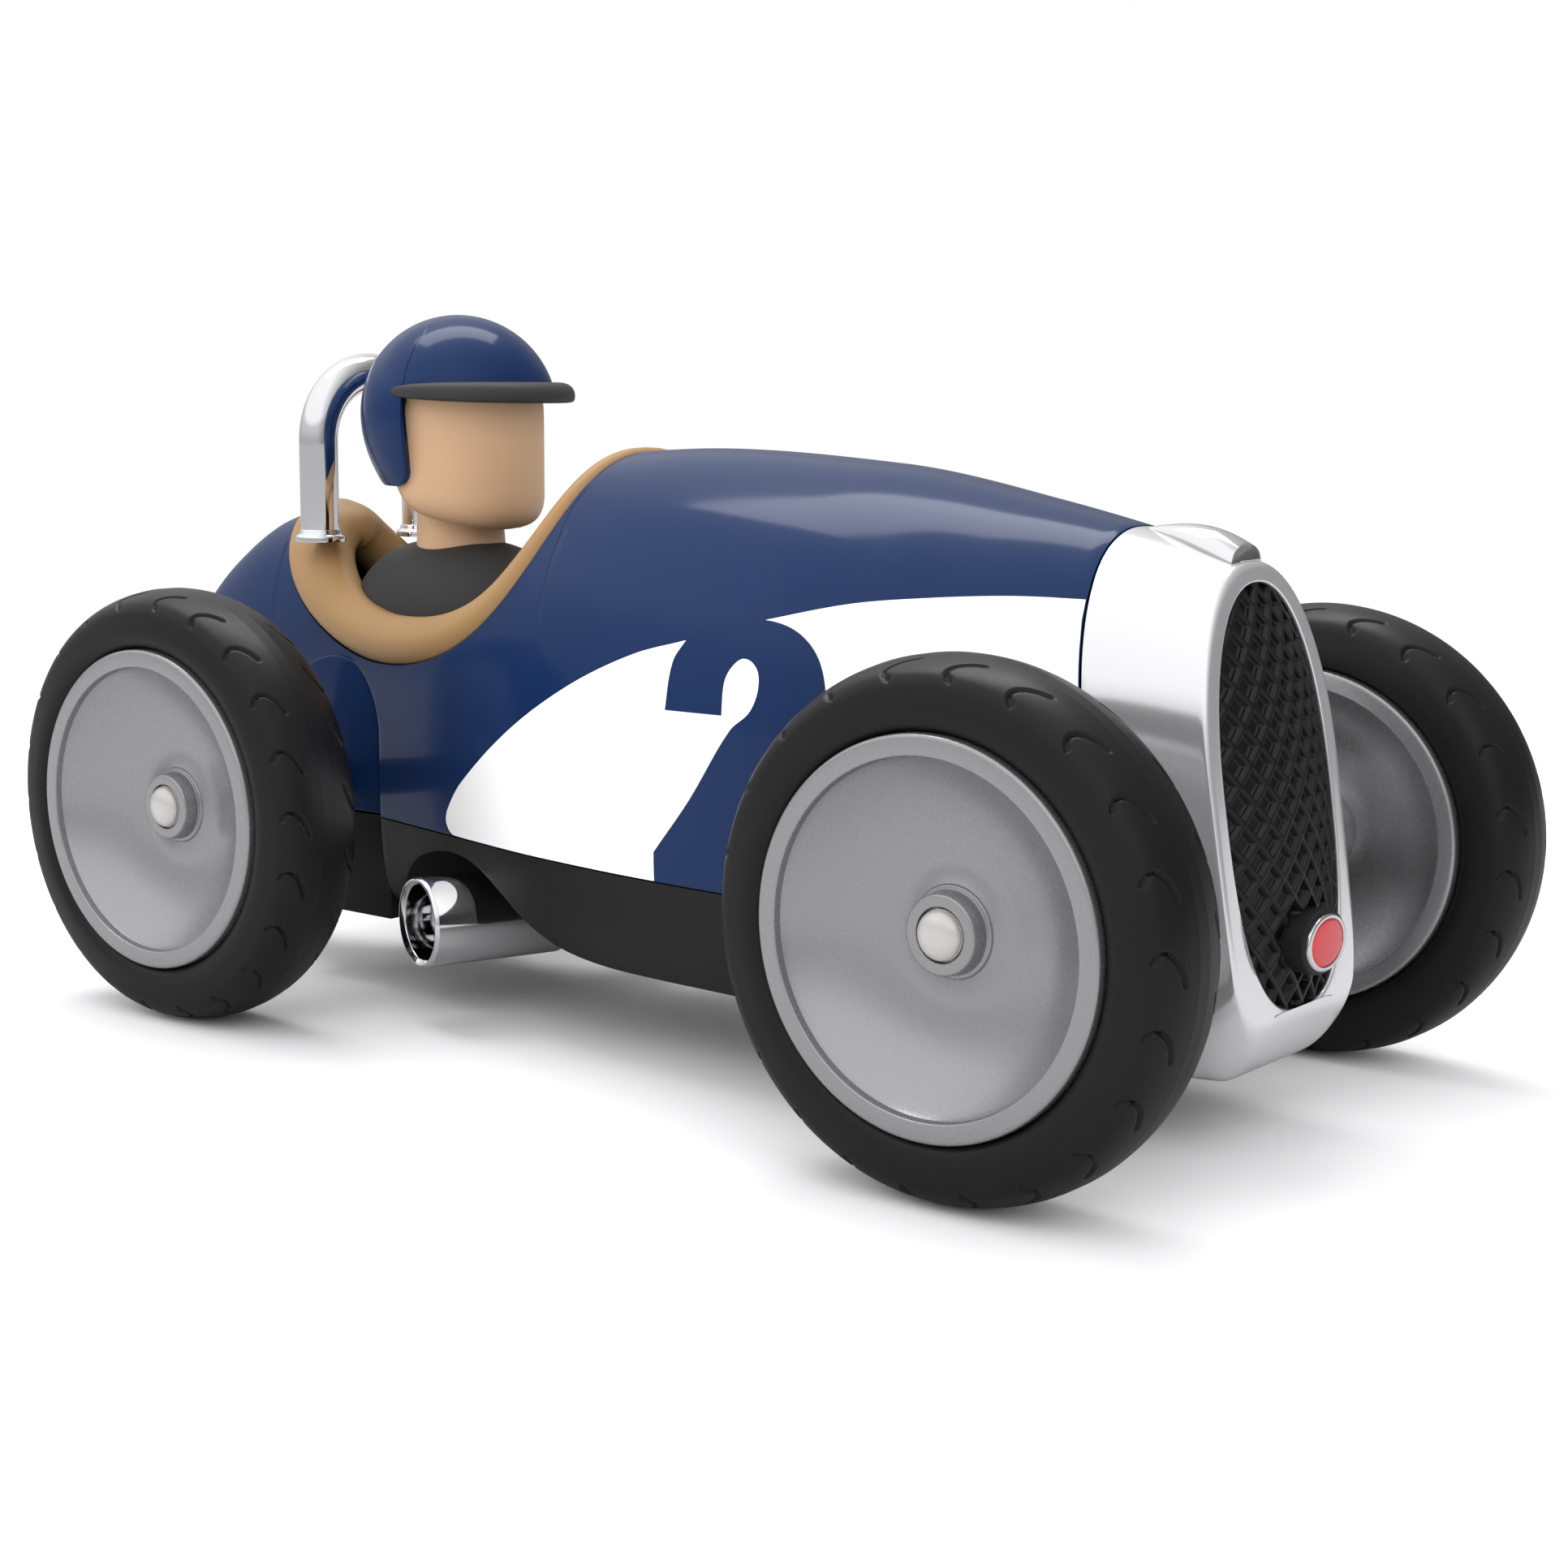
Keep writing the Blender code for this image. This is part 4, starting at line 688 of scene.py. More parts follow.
def build_body():
    places = body_stations()
    low = PARTING_HEIGHT + SEAM_GAP / 2

    def place(u, v):
        x, cut = places[round(u * (len(places) - 1))]
        end = math.pi / 2 if cut is None else angle_at(x, cockpit_edge(cut)[1])
        start = angle_at(x, low)
        point = skin_point(x, start + (end - start) * v)
        return (point.x, min(point.y, 0.0) if v < 1 or cut is not None else 0.0, point.z)

    shell = laid("body", len(places) - 1, 56, place)
    edit(shell)
    bpy.ops.mesh.remove_doubles(threshold=MERGE_WITHIN)
    bpy.ops.object.mode_set(mode="OBJECT")
    apply_modifier(shell, "MIRROR", use_axis=(False, True, False), use_clip=True, merge_threshold=5e-6)
    edit(shell)
    bpy.ops.mesh.normals_make_consistent(inside=False)
    bpy.ops.object.mode_set(mode="OBJECT")
    high = max(shell.data.polygons, key=lambda face: face.center.z)
    if high.normal.z < 0:
        flip(shell)
    apply_modifier(
        shell, "SOLIDIFY", thickness=0.0016, offset=-1.0, use_even_offset=False, thickness_clamp=1.0
    )
    for sign in SIDES.values():
        boolean(shell, pad_cutter(sign))
    soften(shell, 0.00012, 2, 50)
    settle(shell, MATERIALS["blue"], "car", "blue_gloss", "body_shell")


def arch_outline(x, half, top, bottom):
    points = [(x + half, bottom), (x + half, top - half)]
    points += [
        (x + half * math.cos(a), top - half + half * math.sin(a)) for a in spread(0, math.pi, 40)[1:-1]
    ]
    return points + [(x - half, top - half), (x - half, bottom)]


PAD_HALF_WIDTH = 0.0144
PAD_TOP_HEIGHT = 0.0648


def prism(name, outline, near, far):
    """A closed outline in side view, drawn out from near to far across the car."""
    obj = outlined(name, [(x, near, z) for x, z in outline])
    edit(obj)
    bpy.ops.mesh.extrude_region_move(TRANSFORM_OT_translate={"value": (0, far - near, 0)})
    return tidy(obj)


def pad_plane():
    return half_width(REAR_X, WAIST_HEIGHT) + 0.0009


def pad_cutter(sign):
    outline = arch_outline(REAR_X, PAD_HALF_WIDTH - 0.0002, PAD_TOP_HEIGHT - 0.0002, -0.01)
    return prism("pad_cutter", outline, sign * (pad_plane() - 0.0004), sign * 0.05)


def build_pads():
    """The flat arch-topped pads that the rear axle comes out of, blue above the parting and black below."""
    upper = arch_outline(REAR_X, PAD_HALF_WIDTH, PAD_TOP_HEIGHT, PARTING_HEIGHT + SEAM_GAP / 2)
    low, high = UNDERSIDE_HEIGHT + 0.0008, PARTING_HEIGHT - SEAM_GAP / 2
    lower = [(REAR_X + x, z) for x, z in (
        (PAD_HALF_WIDTH, low), (PAD_HALF_WIDTH, high), (-PAD_HALF_WIDTH, high), (-PAD_HALF_WIDTH, low)
    )]
    for side, sign in SIDES.items():
        for name, look, slot, outline in (
            ("pad_upper", "blue", "blue_gloss", upper), ("pad_lower", "black", "black_satin", lower)
        ):
            pad = prism(f"{name}_{side}", outline, sign * pad_plane(), sign * (pad_plane() - 0.0062))
            soften(pad, 0.0004, 4)
            settle(pad, MATERIALS[look], "car", slot)


def build_decals():
    sizes = bpy.context.scene.toy_car_sizes
    swoosh = softened(SWOOSH, SWOOSH_CORNERS)
    numeral = softened(NUMERAL, NUMERAL_CORNERS)
    for side, sign in SIDES.items():
        white = flank_piece(f"flank_decal_{side}", swoosh, sign, sizes.decal_lift)
        settle(white, MATERIALS["white"], "car", "silver_gloss")
        figure = numeral
        if side == "left":
            figure = [Vector((2 * NUMERAL_MIDDLE - p.x, p.y)) for p in numeral]
        blue = flank_piece(f"race_number_{side}", figure, sign, 2 * sizes.decal_lift)
        settle(blue, MATERIALS["blue"], "car", "blue_gloss")


def exhaust_direction(sign):
    return Vector((-math.sin(EXHAUST_SWEEP), sign * math.cos(EXHAUST_SWEEP), 0))


def exhaust_mouth(sign):
    return Vector((REAR_X + 0.0392, sign * 0.036, 0.0194))


ARCH_OUTLINE = (
    (-0.0300, -0.0160), (-0.0285, -0.0060), (-0.0250, 0.0030), (-0.0190, 0.0085), (-0.0110, 0.0112),
    (-0.0030, 0.0118), (0.0050, 0.0103), (0.0125, 0.0065), (0.0190, 0.0020), (0.0260, -0.0022),
    (0.0340, -0.0046), (0.0440, -0.0060), (0.0520, -0.0075), (0.0560, -0.0160),
)


def arch_cutter(sign):
    outline = softened(ARCH_OUTLINE, {0, len(ARCH_OUTLINE) - 1}, 5)
    mouth = exhaust_mouth(sign)
    rings = []
    for y in (0.006, 0.036, 0.080):
        shift = -math.tan(ARCH_SWEEP) * (y - 0.036)
        rings.append([(mouth.x + shift + px, sign * y, mouth.z + pz) for px, pz in outline])
    return swept("arch_cutter", rings)


def build_chassis():
    rings = []
    high = PARTING_HEIGHT - SEAM_GAP / 2
    for x in spread(station(0.05), SEAM_X - SEAM_GAP / 2, 110):
        start = angle_at(x, high)
        right = [skin_point(x, a) for a in spread(start, -math.pi / 2, 22)]
        right[0].z = high
        edge = right[0]
        top = [Vector((edge.x, edge.y * t, high)) for t in spread(-1, 1, 8)[1:-1]]
        rings.append(right + [Vector((p.x, -p.y, p.z)) for p in reversed(right[:-1])] + top)
    pan = swept("chassis", rings)
    for sign in SIDES.values():
        boolean(pan, arch_cutter(sign))
        boolean(pan, pad_cutter(sign))
    soften(pan, 0.0006, 3, 42)
    settle(pan, MATERIALS["black"], "car", "black_satin", "chassis_pan")


# ---- Nose, grille, badge ------------------------------------------------------------------------


def mirrored(point):
    return Vector((point[0], -point[1], point[2]))


def whole_ring(right):
    """A ring from its right-hand half, keel to crown."""
    return right + [mirrored(p) for p in reversed(right[1:-1])]


def full_ring(x, inset=0.0):
    """A ring of the body's skin; x and inset may be functions of the skin angle."""
    right = []
    for angle in spread(-math.pi / 2, math.pi / 2, RING_STEPS):
        at, shrink = (v(angle) if callable(v) else v for v in (x, inset))
        right.append(skin_point(at, angle, shrink))
    return whole_ring(right)


def opening_form(upper):
    """Reach and power of the upper or the lower half of the grille's opening."""
    if upper:
        return OPENING_TOP_HEIGHT - WAIST_HEIGHT, OPENING_CROWN_POWER
    return WAIST_HEIGHT - OPENING_BOTTOM_HEIGHT, OPENING_KEEL_POWER


def opening_point(angle, grow):
    reach, power = opening_form(angle >= 0)
    y = -(OPENING_HALF_WIDTH + grow) * max(math.cos(angle), 0.0) ** (2 / power)
    z = (reach + grow) * abs(math.sin(angle)) ** (2 / power)
    return y, WAIST_HEIGHT + math.copysign(z, angle)


def opening_ring(depth, grow=0.0):
    right = []
    for angle in spread(-math.pi / 2, math.pi / 2, RING_STEPS):
        y, z = opening_point(angle, grow)
        right.append(Vector((GRILLE_X - depth + NOSE_RAKE * (WAIST_HEIGHT - z), y, z)))
    return whole_ring(right)


def nose_lip(angle):
    """Radius of the nose's front edge: crisp round the frame, full at the chin."""
    return 0.0008 + 0.0036 * ease((-math.degrees(angle) - 38) / 45)


def build_nose():
    start = SEAM_X + SEAM_GAP / 2
    rings = [full_ring(start, 0.00022), full_ring(start + 0.00006, 0.00006)]
    for t in spread(0.02, 1, 26):
        rings.append(full_ring(lambda a, t=t: start + (GRILLE_X - nose_lip(a) - start) * t))
    for turn in spread(0, math.pi / 2, 7)[1:]:
        rings.append(full_ring(
            lambda a, turn=turn: GRILLE_X - nose_lip(a) * (1 - math.sin(turn)),
            lambda a, turn=turn: nose_lip(a) * (1 - math.cos(turn)),
        ))
    edge = 0.0003
    outer = rings[-1]
    inner = opening_ring(0.0, edge)
    for t in spread(0, 1, 4)[1:]:
        rings.append([a.lerp(b, t) for a, b in zip(outer, inner)])
    for angle in spread(0, math.pi / 2, 4)[1:]:
        rings.append(opening_ring(edge * (1 - math.cos(angle)), edge * (1 - math.sin(angle))))
    rings += [opening_ring(0.0034), full_ring(GRILLE_X - 0.0072, 0.0018)]
    rings += [full_ring(x, 0.0018) for x in spread(GRILLE_X - 0.0085, start, 8)]
    shell = swept("nose", rings, closed=True)
    settle(shell, MATERIALS["silver"], "car", "silver_gloss", "nose_shell", angle=40)


def grille_depth(y, z):
    """How far the grille's pillow stands ahead of the raked front plane."""
    reach, _ = opening_form(z > WAIST_HEIGHT)
    level = (abs(y) / OPENING_HALF_WIDTH) ** 2 + (abs(z - WAIST_HEIGHT) / reach) ** 2
    return 0.0050 * (1 - min(level, 1.0)) - 0.0004


def build_grille():
    sizes = bpy.context.scene.toy_car_sizes
    columns, rows = 190, 330
    wide, tall = 0.0047, 0.0058
    low, high = OPENING_BOTTOM_HEIGHT, OPENING_TOP_HEIGHT

    def row_half(z):
        reach, power = opening_form(z >= WAIST_HEIGHT)
        return OPENING_HALF_WIDTH * max(1 - (abs(z - WAIST_HEIGHT) / reach) ** power, 0.0) ** (1 / power)

    def place(u, v):
        z = low + (high - low) * v
        y = (2 * u - 1) * row_half(z)
        nearest = 1.0
        for slant in (-1, 1):
            phase = (y / wide + slant * z / tall) % 1.0
            nearest = min(nearest, min(phase, 1 - phase))
        across = nearest * wide * tall / math.hypot(wide, tall)
        rib = ease(1 - (across - 0.00024) / 0.00062)
        border = (1 - abs(2 * u - 1)) * row_half(z)
        rib = max(rib, ease(1 - (border - 0.0004) / 0.0004))
        depth = grille_depth(y, z) + sizes.rib_height * (rib - 1)
        return (GRILLE_X + NOSE_RAKE * (WAIST_HEIGHT - z) + depth, y, z)

    insert = laid("grille", columns, rows, place)
    tidy(insert)
    if sum(face.normal.x * face.area for face in insert.data.polygons) < 0:
        flip(insert)
    apply_modifier(insert, "SOLIDIFY", thickness=0.0014, offset=-1.0)
    settle(insert, MATERIALS["grille"], "car", "black_matt", "grille_insert", angle=60)


def build_badge():
    """A plain oval of enamel in a thin bright rim, on a black seat that comes out of the grille."""
    low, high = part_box("badge_disc")
    radius = (high.z - low.z) / 2
    wide = (high.y - low.y) / (high.z - low.z)
    seat_low, seat_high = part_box("badge_base")
    seat = (seat_high.z - seat_low.z) / 2
    centre = Vector((high.x, 0, (low.z + high.z) / 2))
    back = seat_low.x - high.x - 0.0022
    ahead = (1, 0, 0)
    rim = radius + 0.0007
    base = rounded(((0, -0.0007, 0), (seat, -0.0007, 0.0005), (seat, back, 0), (0, back, 0)))
    base = spun("badge_seat", base, ahead, centre)
    ring = rounded((
        (radius, -0.0001, 0.0001), (rim, -0.0002, 0.0003), (rim, -0.0009, 0), (radius, -0.0009, 0),
    ))
    ring = spun("badge_rim", ring, ahead, centre)
    dome = [(0.0, -0.0009), (radius, -0.0009)]
    dome += [(radius * math.cos(a), 0.0004 * math.sin(a) - 0.0004) for a in spread(0, math.pi / 2, 12)]
    disc = spun("badge_face", dome, ahead, centre)
    for piece, look, slot, node in (
        (base, "dark", "black_matt", "badge_base"), (ring, "chrome", "chrome", "badge_bezel"),
        (disc, "red", "red_gloss", "badge_disc"),
    ):
        piece.data.transform(Matrix.Diagonal((1, wide, 1, 1)))
        settle(piece, MATERIALS[look], "car", slot, node)


def build_ridge():
    """The leaf-shaped ridge on the nose's crown: pointed at the seam, blunt in front."""
    start = SEAM_X + lean(SEAM_X) * (WAIST_HEIGHT - section(SEAM_X)[1]) + 0.0008
    length = 0.0176
    rings = []
    for t in [*spread(0, 1, 40), 1.02, 1.03]:
        x = start + length * min(t, 1.0) + max(t - 1.0, 0) * 0.02
        shrink = 1.0 if t <= 1 else 1.0 - (t - 1.0) / 0.03 * 0.35
        half = (0.0003 + 0.0046 * math.sin(min(t, 1.0) * math.pi / 2) ** 0.9) * shrink
        rise = (0.0003 + 0.0036 * math.sin(min(t * 1.2, 1.0) * math.pi / 2)) * shrink
        rise *= 1 - 0.30 * min(t, 1.0) ** 4
        top = section(x)[1]
        ring = []
        for a in spread(0, math.pi, 20):
            y = half * math.cos(a)
            base = min(skin_height(x, y), top) - 0.0003
            ring.append(Vector((x, -y, base + rise * math.sin(a) ** 0.8)))
        ring += [Vector((x, half * s, min(skin_height(x, half * s), top) - 0.0006)) for s in (0.6, 0.0, -0.6)]
        rings.append(ring)
    ridge = swept("nose_ridge_trim", rings)
    soften(ridge, 0.00025, 2, 50)
    settle(ridge, MATERIALS["chrome"], "car", "chrome", "nose_ridge")


def skin_height(x, y):
    half, top, _, waist = section(x)
    share = min(abs(y) / half, 1.0)
    return waist + (top - waist) * (1 - share ** CROWN_POWER) ** (1 / CROWN_POWER)


# ---- Cockpit rim --------------------------------------------------------------------------------

RIM_HALF_WIDTHS = (
    (0.0, 0.0080), (0.16, 0.0066), (0.32, 0.0052), (0.46, 0.0047), (0.7, 0.0029), (1.0, 0.0018),
)
RIM_HALF_HEIGHTS = ((0.0, 0.0044), (0.45, 0.0042), (0.7, 0.0025), (1.0, 0.0018))
RIM_ROLL = math.radians(28)


def form_level(point):
    half, top, bottom, waist = section(point.x)
    reach, power = (top - waist, CROWN_POWER) if point.z >= waist else (waist - bottom, KEEL_POWER)
    return (abs(point.y) / half) ** power + (abs(point.z - waist) / reach) ** power


def skin_normal(point):
    slopes = []
    for axis in range(3):
        shift = Vector((0, 0, 0))
        shift[axis] = 0.0002
        slopes.append(form_level(point + shift) - form_level(point - shift))
    return Vector(slopes).normalized()


def evenly(points, count):
    lengths = [0.0]
    for a, b in zip(points, points[1:]):
        lengths.append(lengths[-1] + (b - a).length)
    found = []
    i = 0
    for target in spread(0, lengths[-1], count):
        while i < len(points) - 2 and lengths[i + 1] <= target:
            i += 1
        t = (target - lengths[i]) / (lengths[i + 1] - lengths[i])
        found.append(points[i].lerp(points[i + 1], min(t, 1.0)))
    return found


def bowed(value, power):
    """The value raised to a power with its sign kept, which squares or rounds a section."""
    return math.copysign(abs(value) ** power, value)


def build_rim():
    count, sides = 96, 28
    fine = []
    for angle in spread(-math.pi / 2, math.pi / 2, 720):
        x, z = cockpit_edge(angle)
        fine.append(Vector((x, -half_width(x, z), z)))
    path = evenly(fine, count)
    widths, heights = smooth_curve(RIM_HALF_WIDTHS), smooth_curve(RIM_HALF_HEIGHTS)
    right = []
    for i, point in enumerate(path):
        before = path[i - 1] if i else mirrored(path[1])
        after = path[i + 1] if i < count else mirrored(path[count - 1])
        tangent = (after - before).normalized()
        normal = skin_normal(point)
        normal = (normal - tangent * normal.dot(tangent)).normalized()
        inward = normal.cross(tangent)
        inward = inward * math.cos(RIM_ROLL) - normal * math.sin(RIM_ROLL)
        upward = tangent.cross(inward)
        half, high = widths(i / count), heights(i / count)
        centre = point + inward * (half + 0.0004)
        ring = []
        for a in spread(0, 2 * math.pi, sides)[:-1]:
            c, s = math.cos(a), math.sin(a)
            ring.append(centre + inward * (half * bowed(c, 0.85)) + upward * (high * bowed(s, 0.85)))
        right.append(ring)
    rings = right + [[mirrored(p) for p in ring] for ring in reversed(right[1:-1])]
    rim = swept("cockpit_rim_trim", rings, closed=True)
    settle(rim, MATERIALS["tan"], "car", "tan_satin", "cockpit_rim", angle=60)


# ---- Driver -------------------------------------------------------------------------------------


def build_torso():
    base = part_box("driver_torso")[0].z
    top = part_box("driver_torso")[1].z
    deselect()
    bpy.ops.mesh.primitive_uv_sphere_add(segments=96, ring_count=64, radius=1.0)
    torso = bpy.context.object
    torso.name = "driver_suit"
    power = 2.7
    points = []
    for vert in torso.data.vertices:
        level = sum(abs(c) ** power for c in vert.co) ** (-1 / power)
        p = vert.co * level
        height = (top - base) * p.z if p.z > 0 else (top - base) * 0.02 * p.z
        points.append((DRIVER_X + 0.0245 * p.x, 0.0165 * p.y, base + height + 0.0016 * max(p.z, 0)))
    set_points(torso, points)
    tidy(torso)
    settle(torso, MATERIALS["torso"], "car", "grey_matt", "driver_torso", angle=60)


def build_head():
    """A blank head on a short neck: barrel sides, rounded chin, a jaw line that rises to the nape."""
    bottom, chin = 0.0893, 0.0068
    corners = (
        (0, bottom, 0), (HEAD_RADIUS, bottom, chin), (HEAD_RADIUS, HEAD_CENTRE_HEIGHT, 0.0),
    )
    profile = rounded(corners, 14)
    profile += [
        (HEAD_RADIUS * math.cos(a), HEAD_CENTRE_HEIGHT + HEAD_RADIUS * math.sin(a))
        for a in spread(0, math.pi / 2, 16)[1:]
    ]
    count = len(profile)

    def place(u, v):
        r, z = profile[round(v * (count - 1))]
        x, y = r * math.cos(2 * math.pi * u), r * math.sin(2 * math.pi * u)
        weight = ease((HEAD_CENTRE_HEIGHT - z) / (HEAD_CENTRE_HEIGHT - bottom))
        nape = 1 - 0.26 * ease((0.35 - math.cos(2 * math.pi * u)) / 1.1) * weight ** 0.7
        return (DRIVER_X + x * nape, y * nape, z + 0.27 * max(HEAD_RADIUS * 0.75 - x, 0) * weight)

    head = tidy(laid("driver_head_form", 96, count - 1, place))
    settle(head, MATERIALS["skin"], "car", "skin_matt", "driver_head", angle=60)
    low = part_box("driver_neck")[0].z
    neck = rounded((
        (0, 0.0960, 0), (0.0086, 0.0960, 0), (0.0084, 0.0900, 0.004), (0.0088, low, 0.0008), (0, low, 0),
    ), 6)
    neck = spun("driver_neck_form", neck, at=(DRIVER_X, 0, 0))
    settle(neck, MATERIALS["skin"], "car", "skin_matt", "driver_neck", angle=50)


def build_helmet():
    outer, wall = 0.0191, 0.0022
    centre, brim, skirt = HEAD_CENTRE_HEIGHT, 0.1152, 0.0980
    front = math.acos(0.0034 / outer)
    turns = spread(-front + 0.004, front - 0.004, 70)
    back = spread(front + 0.004, 2 * math.pi - front - 0.004, 110)
    columns = turns + back
    rows = 64

    def lowest(angle):
        away = abs(math.remainder(angle, 2 * math.pi))
        if away < front:
            return brim
        t = (away - front) / (math.pi - front)
        corner = max(1 - t / 0.10, 0.0)
        return skirt + 0.0030 * (1 - math.sqrt(1 - corner ** 2)) + 0.0045 * ease((t - 0.30) / 0.70)

    def place(u, v):
        angle = columns[round(u * len(columns)) % len(columns)]
        low = lowest(angle)
        length_dome = outer * math.pi / 2
        length = length_dome + max(centre - low, 0.0)
        if low > centre:
            length = outer * math.acos((low - centre) / outer)
        run = length * v
        if run <= length_dome:
            tilt = run / outer
            r, z = outer * math.sin(tilt), centre + outer * math.cos(tilt)
        else:
            drop = run - length_dome
            tuck = 0.11 + 0.11 * ease((0.35 - math.cos(angle)) / 1.1)
            r, z = outer * (1 - tuck * (drop / 0.0136) ** 2), centre - drop
        return (DRIVER_X + r * math.cos(angle), r * math.sin(angle), z)

    helmet = laid("helmet_shell", len(columns), rows, place)
    tidy(helmet)
    top = max(helmet.data.polygons, key=lambda face: face.center.z)
    if top.normal.z < 0:
        flip(helmet)
    apply_modifier(helmet, "SOLIDIFY", thickness=wall, offset=-1.0, use_even_offset=True)
    soften(helmet, 0.0006, 3, 55)
    settle(helmet, MATERIALS["blue"], "car", "blue_gloss", "driver_helmet", angle=45)
    build_visor(outer)


def build_visor(helmet_radius):
    """A thin peak that grows out of the temples and droops a little in front."""
    rings = []
    reach = math.radians(86)
    for t in spread(-1, 1, 96):
        angle = t * reach
        fade = max(1 - abs(t) ** 3.2, 0.0)
        outer = helmet_radius + 0.0002 + (0.0036 * math.cos(angle) ** 0.7 + 0.0004) * fade ** 0.6
        inner = helmet_radius - 0.0012
        thick = 0.0004 + 0.00145 * fade ** 0.5
        middle, half = (outer + inner) / 2, (outer - inner) / 2
        droop = 0.0010 * math.cos(angle)
        ring = []
        for a in spread(0, 2 * math.pi, 24)[:-1]:
            c, s = math.cos(a), math.sin(a)
            r = middle + half * bowed(c, 0.7)
            z = 0.1160 + thick * bowed(s, 0.8) - droop * max(c, 0)
            ring.append(Vector((DRIVER_X + r * math.cos(angle), r * math.sin(angle), z)))
        rings.append(ring)
    visor = swept("helmet_peak", rings)
    settle(visor, MATERIALS["torso"], "car", "grey_matt", "helmet_visor", angle=60)


def build_hoop():
    """A polished tube bent into a hoop, with a rounded flange under each leg."""
    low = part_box("hoop_foot_right")[0].z
    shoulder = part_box("roll_hoop")[1].z - HOOP_TUBE / 2 - HOOP_RADIUS
    path = [Vector((HOOP_X, -HOOP_RADIUS, z)) for z in spread(low + 0.0004, shoulder, 24)[:-1]]
    path += [
        Vector((HOOP_X, -HOOP_RADIUS * math.cos(a), shoulder + HOOP_RADIUS * math.sin(a)))
        for a in spread(0, math.pi, 64)
    ]
    path += [mirrored(p) for p in reversed(path[:24])]
    rings = []
    for i, point in enumerate(path):
        ahead = (path[min(i + 1, len(path) - 1)] - path[max(i - 1, 0)]).normalized()
        across = ahead.cross(Vector((1, 0, 0)))
        rings.append([
            point + (Vector((1, 0, 0)) * math.cos(a) + across * math.sin(a)) * HOOP_TUBE / 2
            for a in spread(0, 2 * math.pi, 48)[:-1]
        ])
    hoop = swept("roll_hoop_tube", rings)
    settle(hoop, MATERIALS["chrome"], "car", "chrome", "roll_hoop", angle=60)
    for side, sign in SIDES.items():
        foot = rounded((
            (0, 0.0024, 0), (0.0040, 0.0024, 0.0002), (0.0043, 0.0014, 0.0006), (0.0050, 0.0011, 0.0006),
            (0.0050, 0.0, 0), (0, 0.0, 0),
        ), 5)
        foot = spun(f"hoop_collar_{side}", foot, at=(HOOP_X, sign * HOOP_RADIUS, low), steps=72)
        settle(foot, MATERIALS["chrome"], "car", "chrome", f"hoop_foot_{side}")


# ---- Exhausts and running gear ------------------------------------------------------------------


def build_exhausts():
    r, wall, depth, length = 0.0084, 0.0015, 0.0120, 0.0283
    profile = rounded((
        (0, -depth, 0), (r - wall, -depth, 0.0012), (r - wall, -0.0009, 0.0005), (r - 0.0004, 0, 0.0004),
        (r, -0.0009, 0.0004), (r, -length, 0.0010), (0.0022, -length, 0), (0.0022, -length - 0.007, 0),
        (0, -length - 0.007, 0),
    ), 6)
    for side, sign in SIDES.items():
        pipe = spun(f"exhaust_pipe_{side}", profile, exhaust_direction(sign), exhaust_mouth(sign))
        settle(pipe, MATERIALS["chrome"], "car", "chrome", f"exhaust_{side}")


TYRE_SIDE = (
    (0.02965, 0.0070), (0.02965, 0.0083), (0.0303, 0.0090), (0.0318, 0.00945), (0.0334, 0.00938),
    (0.0350, 0.0091), (0.0365, 0.00868), (0.0378, 0.0078), (0.0388, 0.0062), (0.0395, 0.0042),
    (0.0399, 0.0020), (0.0400, 0.0),
)


def tyre_points():
    """The tyre's section as (radius, across) points, close together where the sipes run."""
    fine = softened(TYRE_SIDE, {0, 1}, 12)[: 12 * (len(TYRE_SIDE) - 1) + 1]
    low = [p for p in fine if p.x < 0.0352][::6]
    high = [Vector((p.x, p.y, 0)) for p in fine if p.x >= 0.0352]
    side = low + [Vector((p.x, p.y)) for p in evenly(high, 44)]
    side[-1] = Vector((WHEEL_RADIUS, 0.0))
    side = [(min(p.x, WHEEL_RADIUS), p.y) for p in side]
    return side + [(r, -across) for r, across in reversed(side[:-1])]


SIPE = (
    (0.0014, 0.0083), (0.0006, 0.0081), (0.0001, 0.0077), (0.0, 0.0071), (0.0004, 0.0064), (0.0014, 0.0056),
    (0.0030, 0.0048), (0.0046, 0.0043),
)


def sipe_distance(along, across):
    """Distance of points on the tread to the nearest hook-shaped groove's middle line."""
    best = np.full(along.shape, 1.0)
    for (ax, ay), (bx, by) in zip(SIPE, SIPE[1:]):
        dx, dy = bx - ax, by - ay
        t = np.clip(((along - ax) * dx + (across - ay) * dy) / (dx * dx + dy * dy), 0, 1)
        best = np.minimum(best, np.hypot(along - ax - t * dx, across - ay - t * dy))
    return best


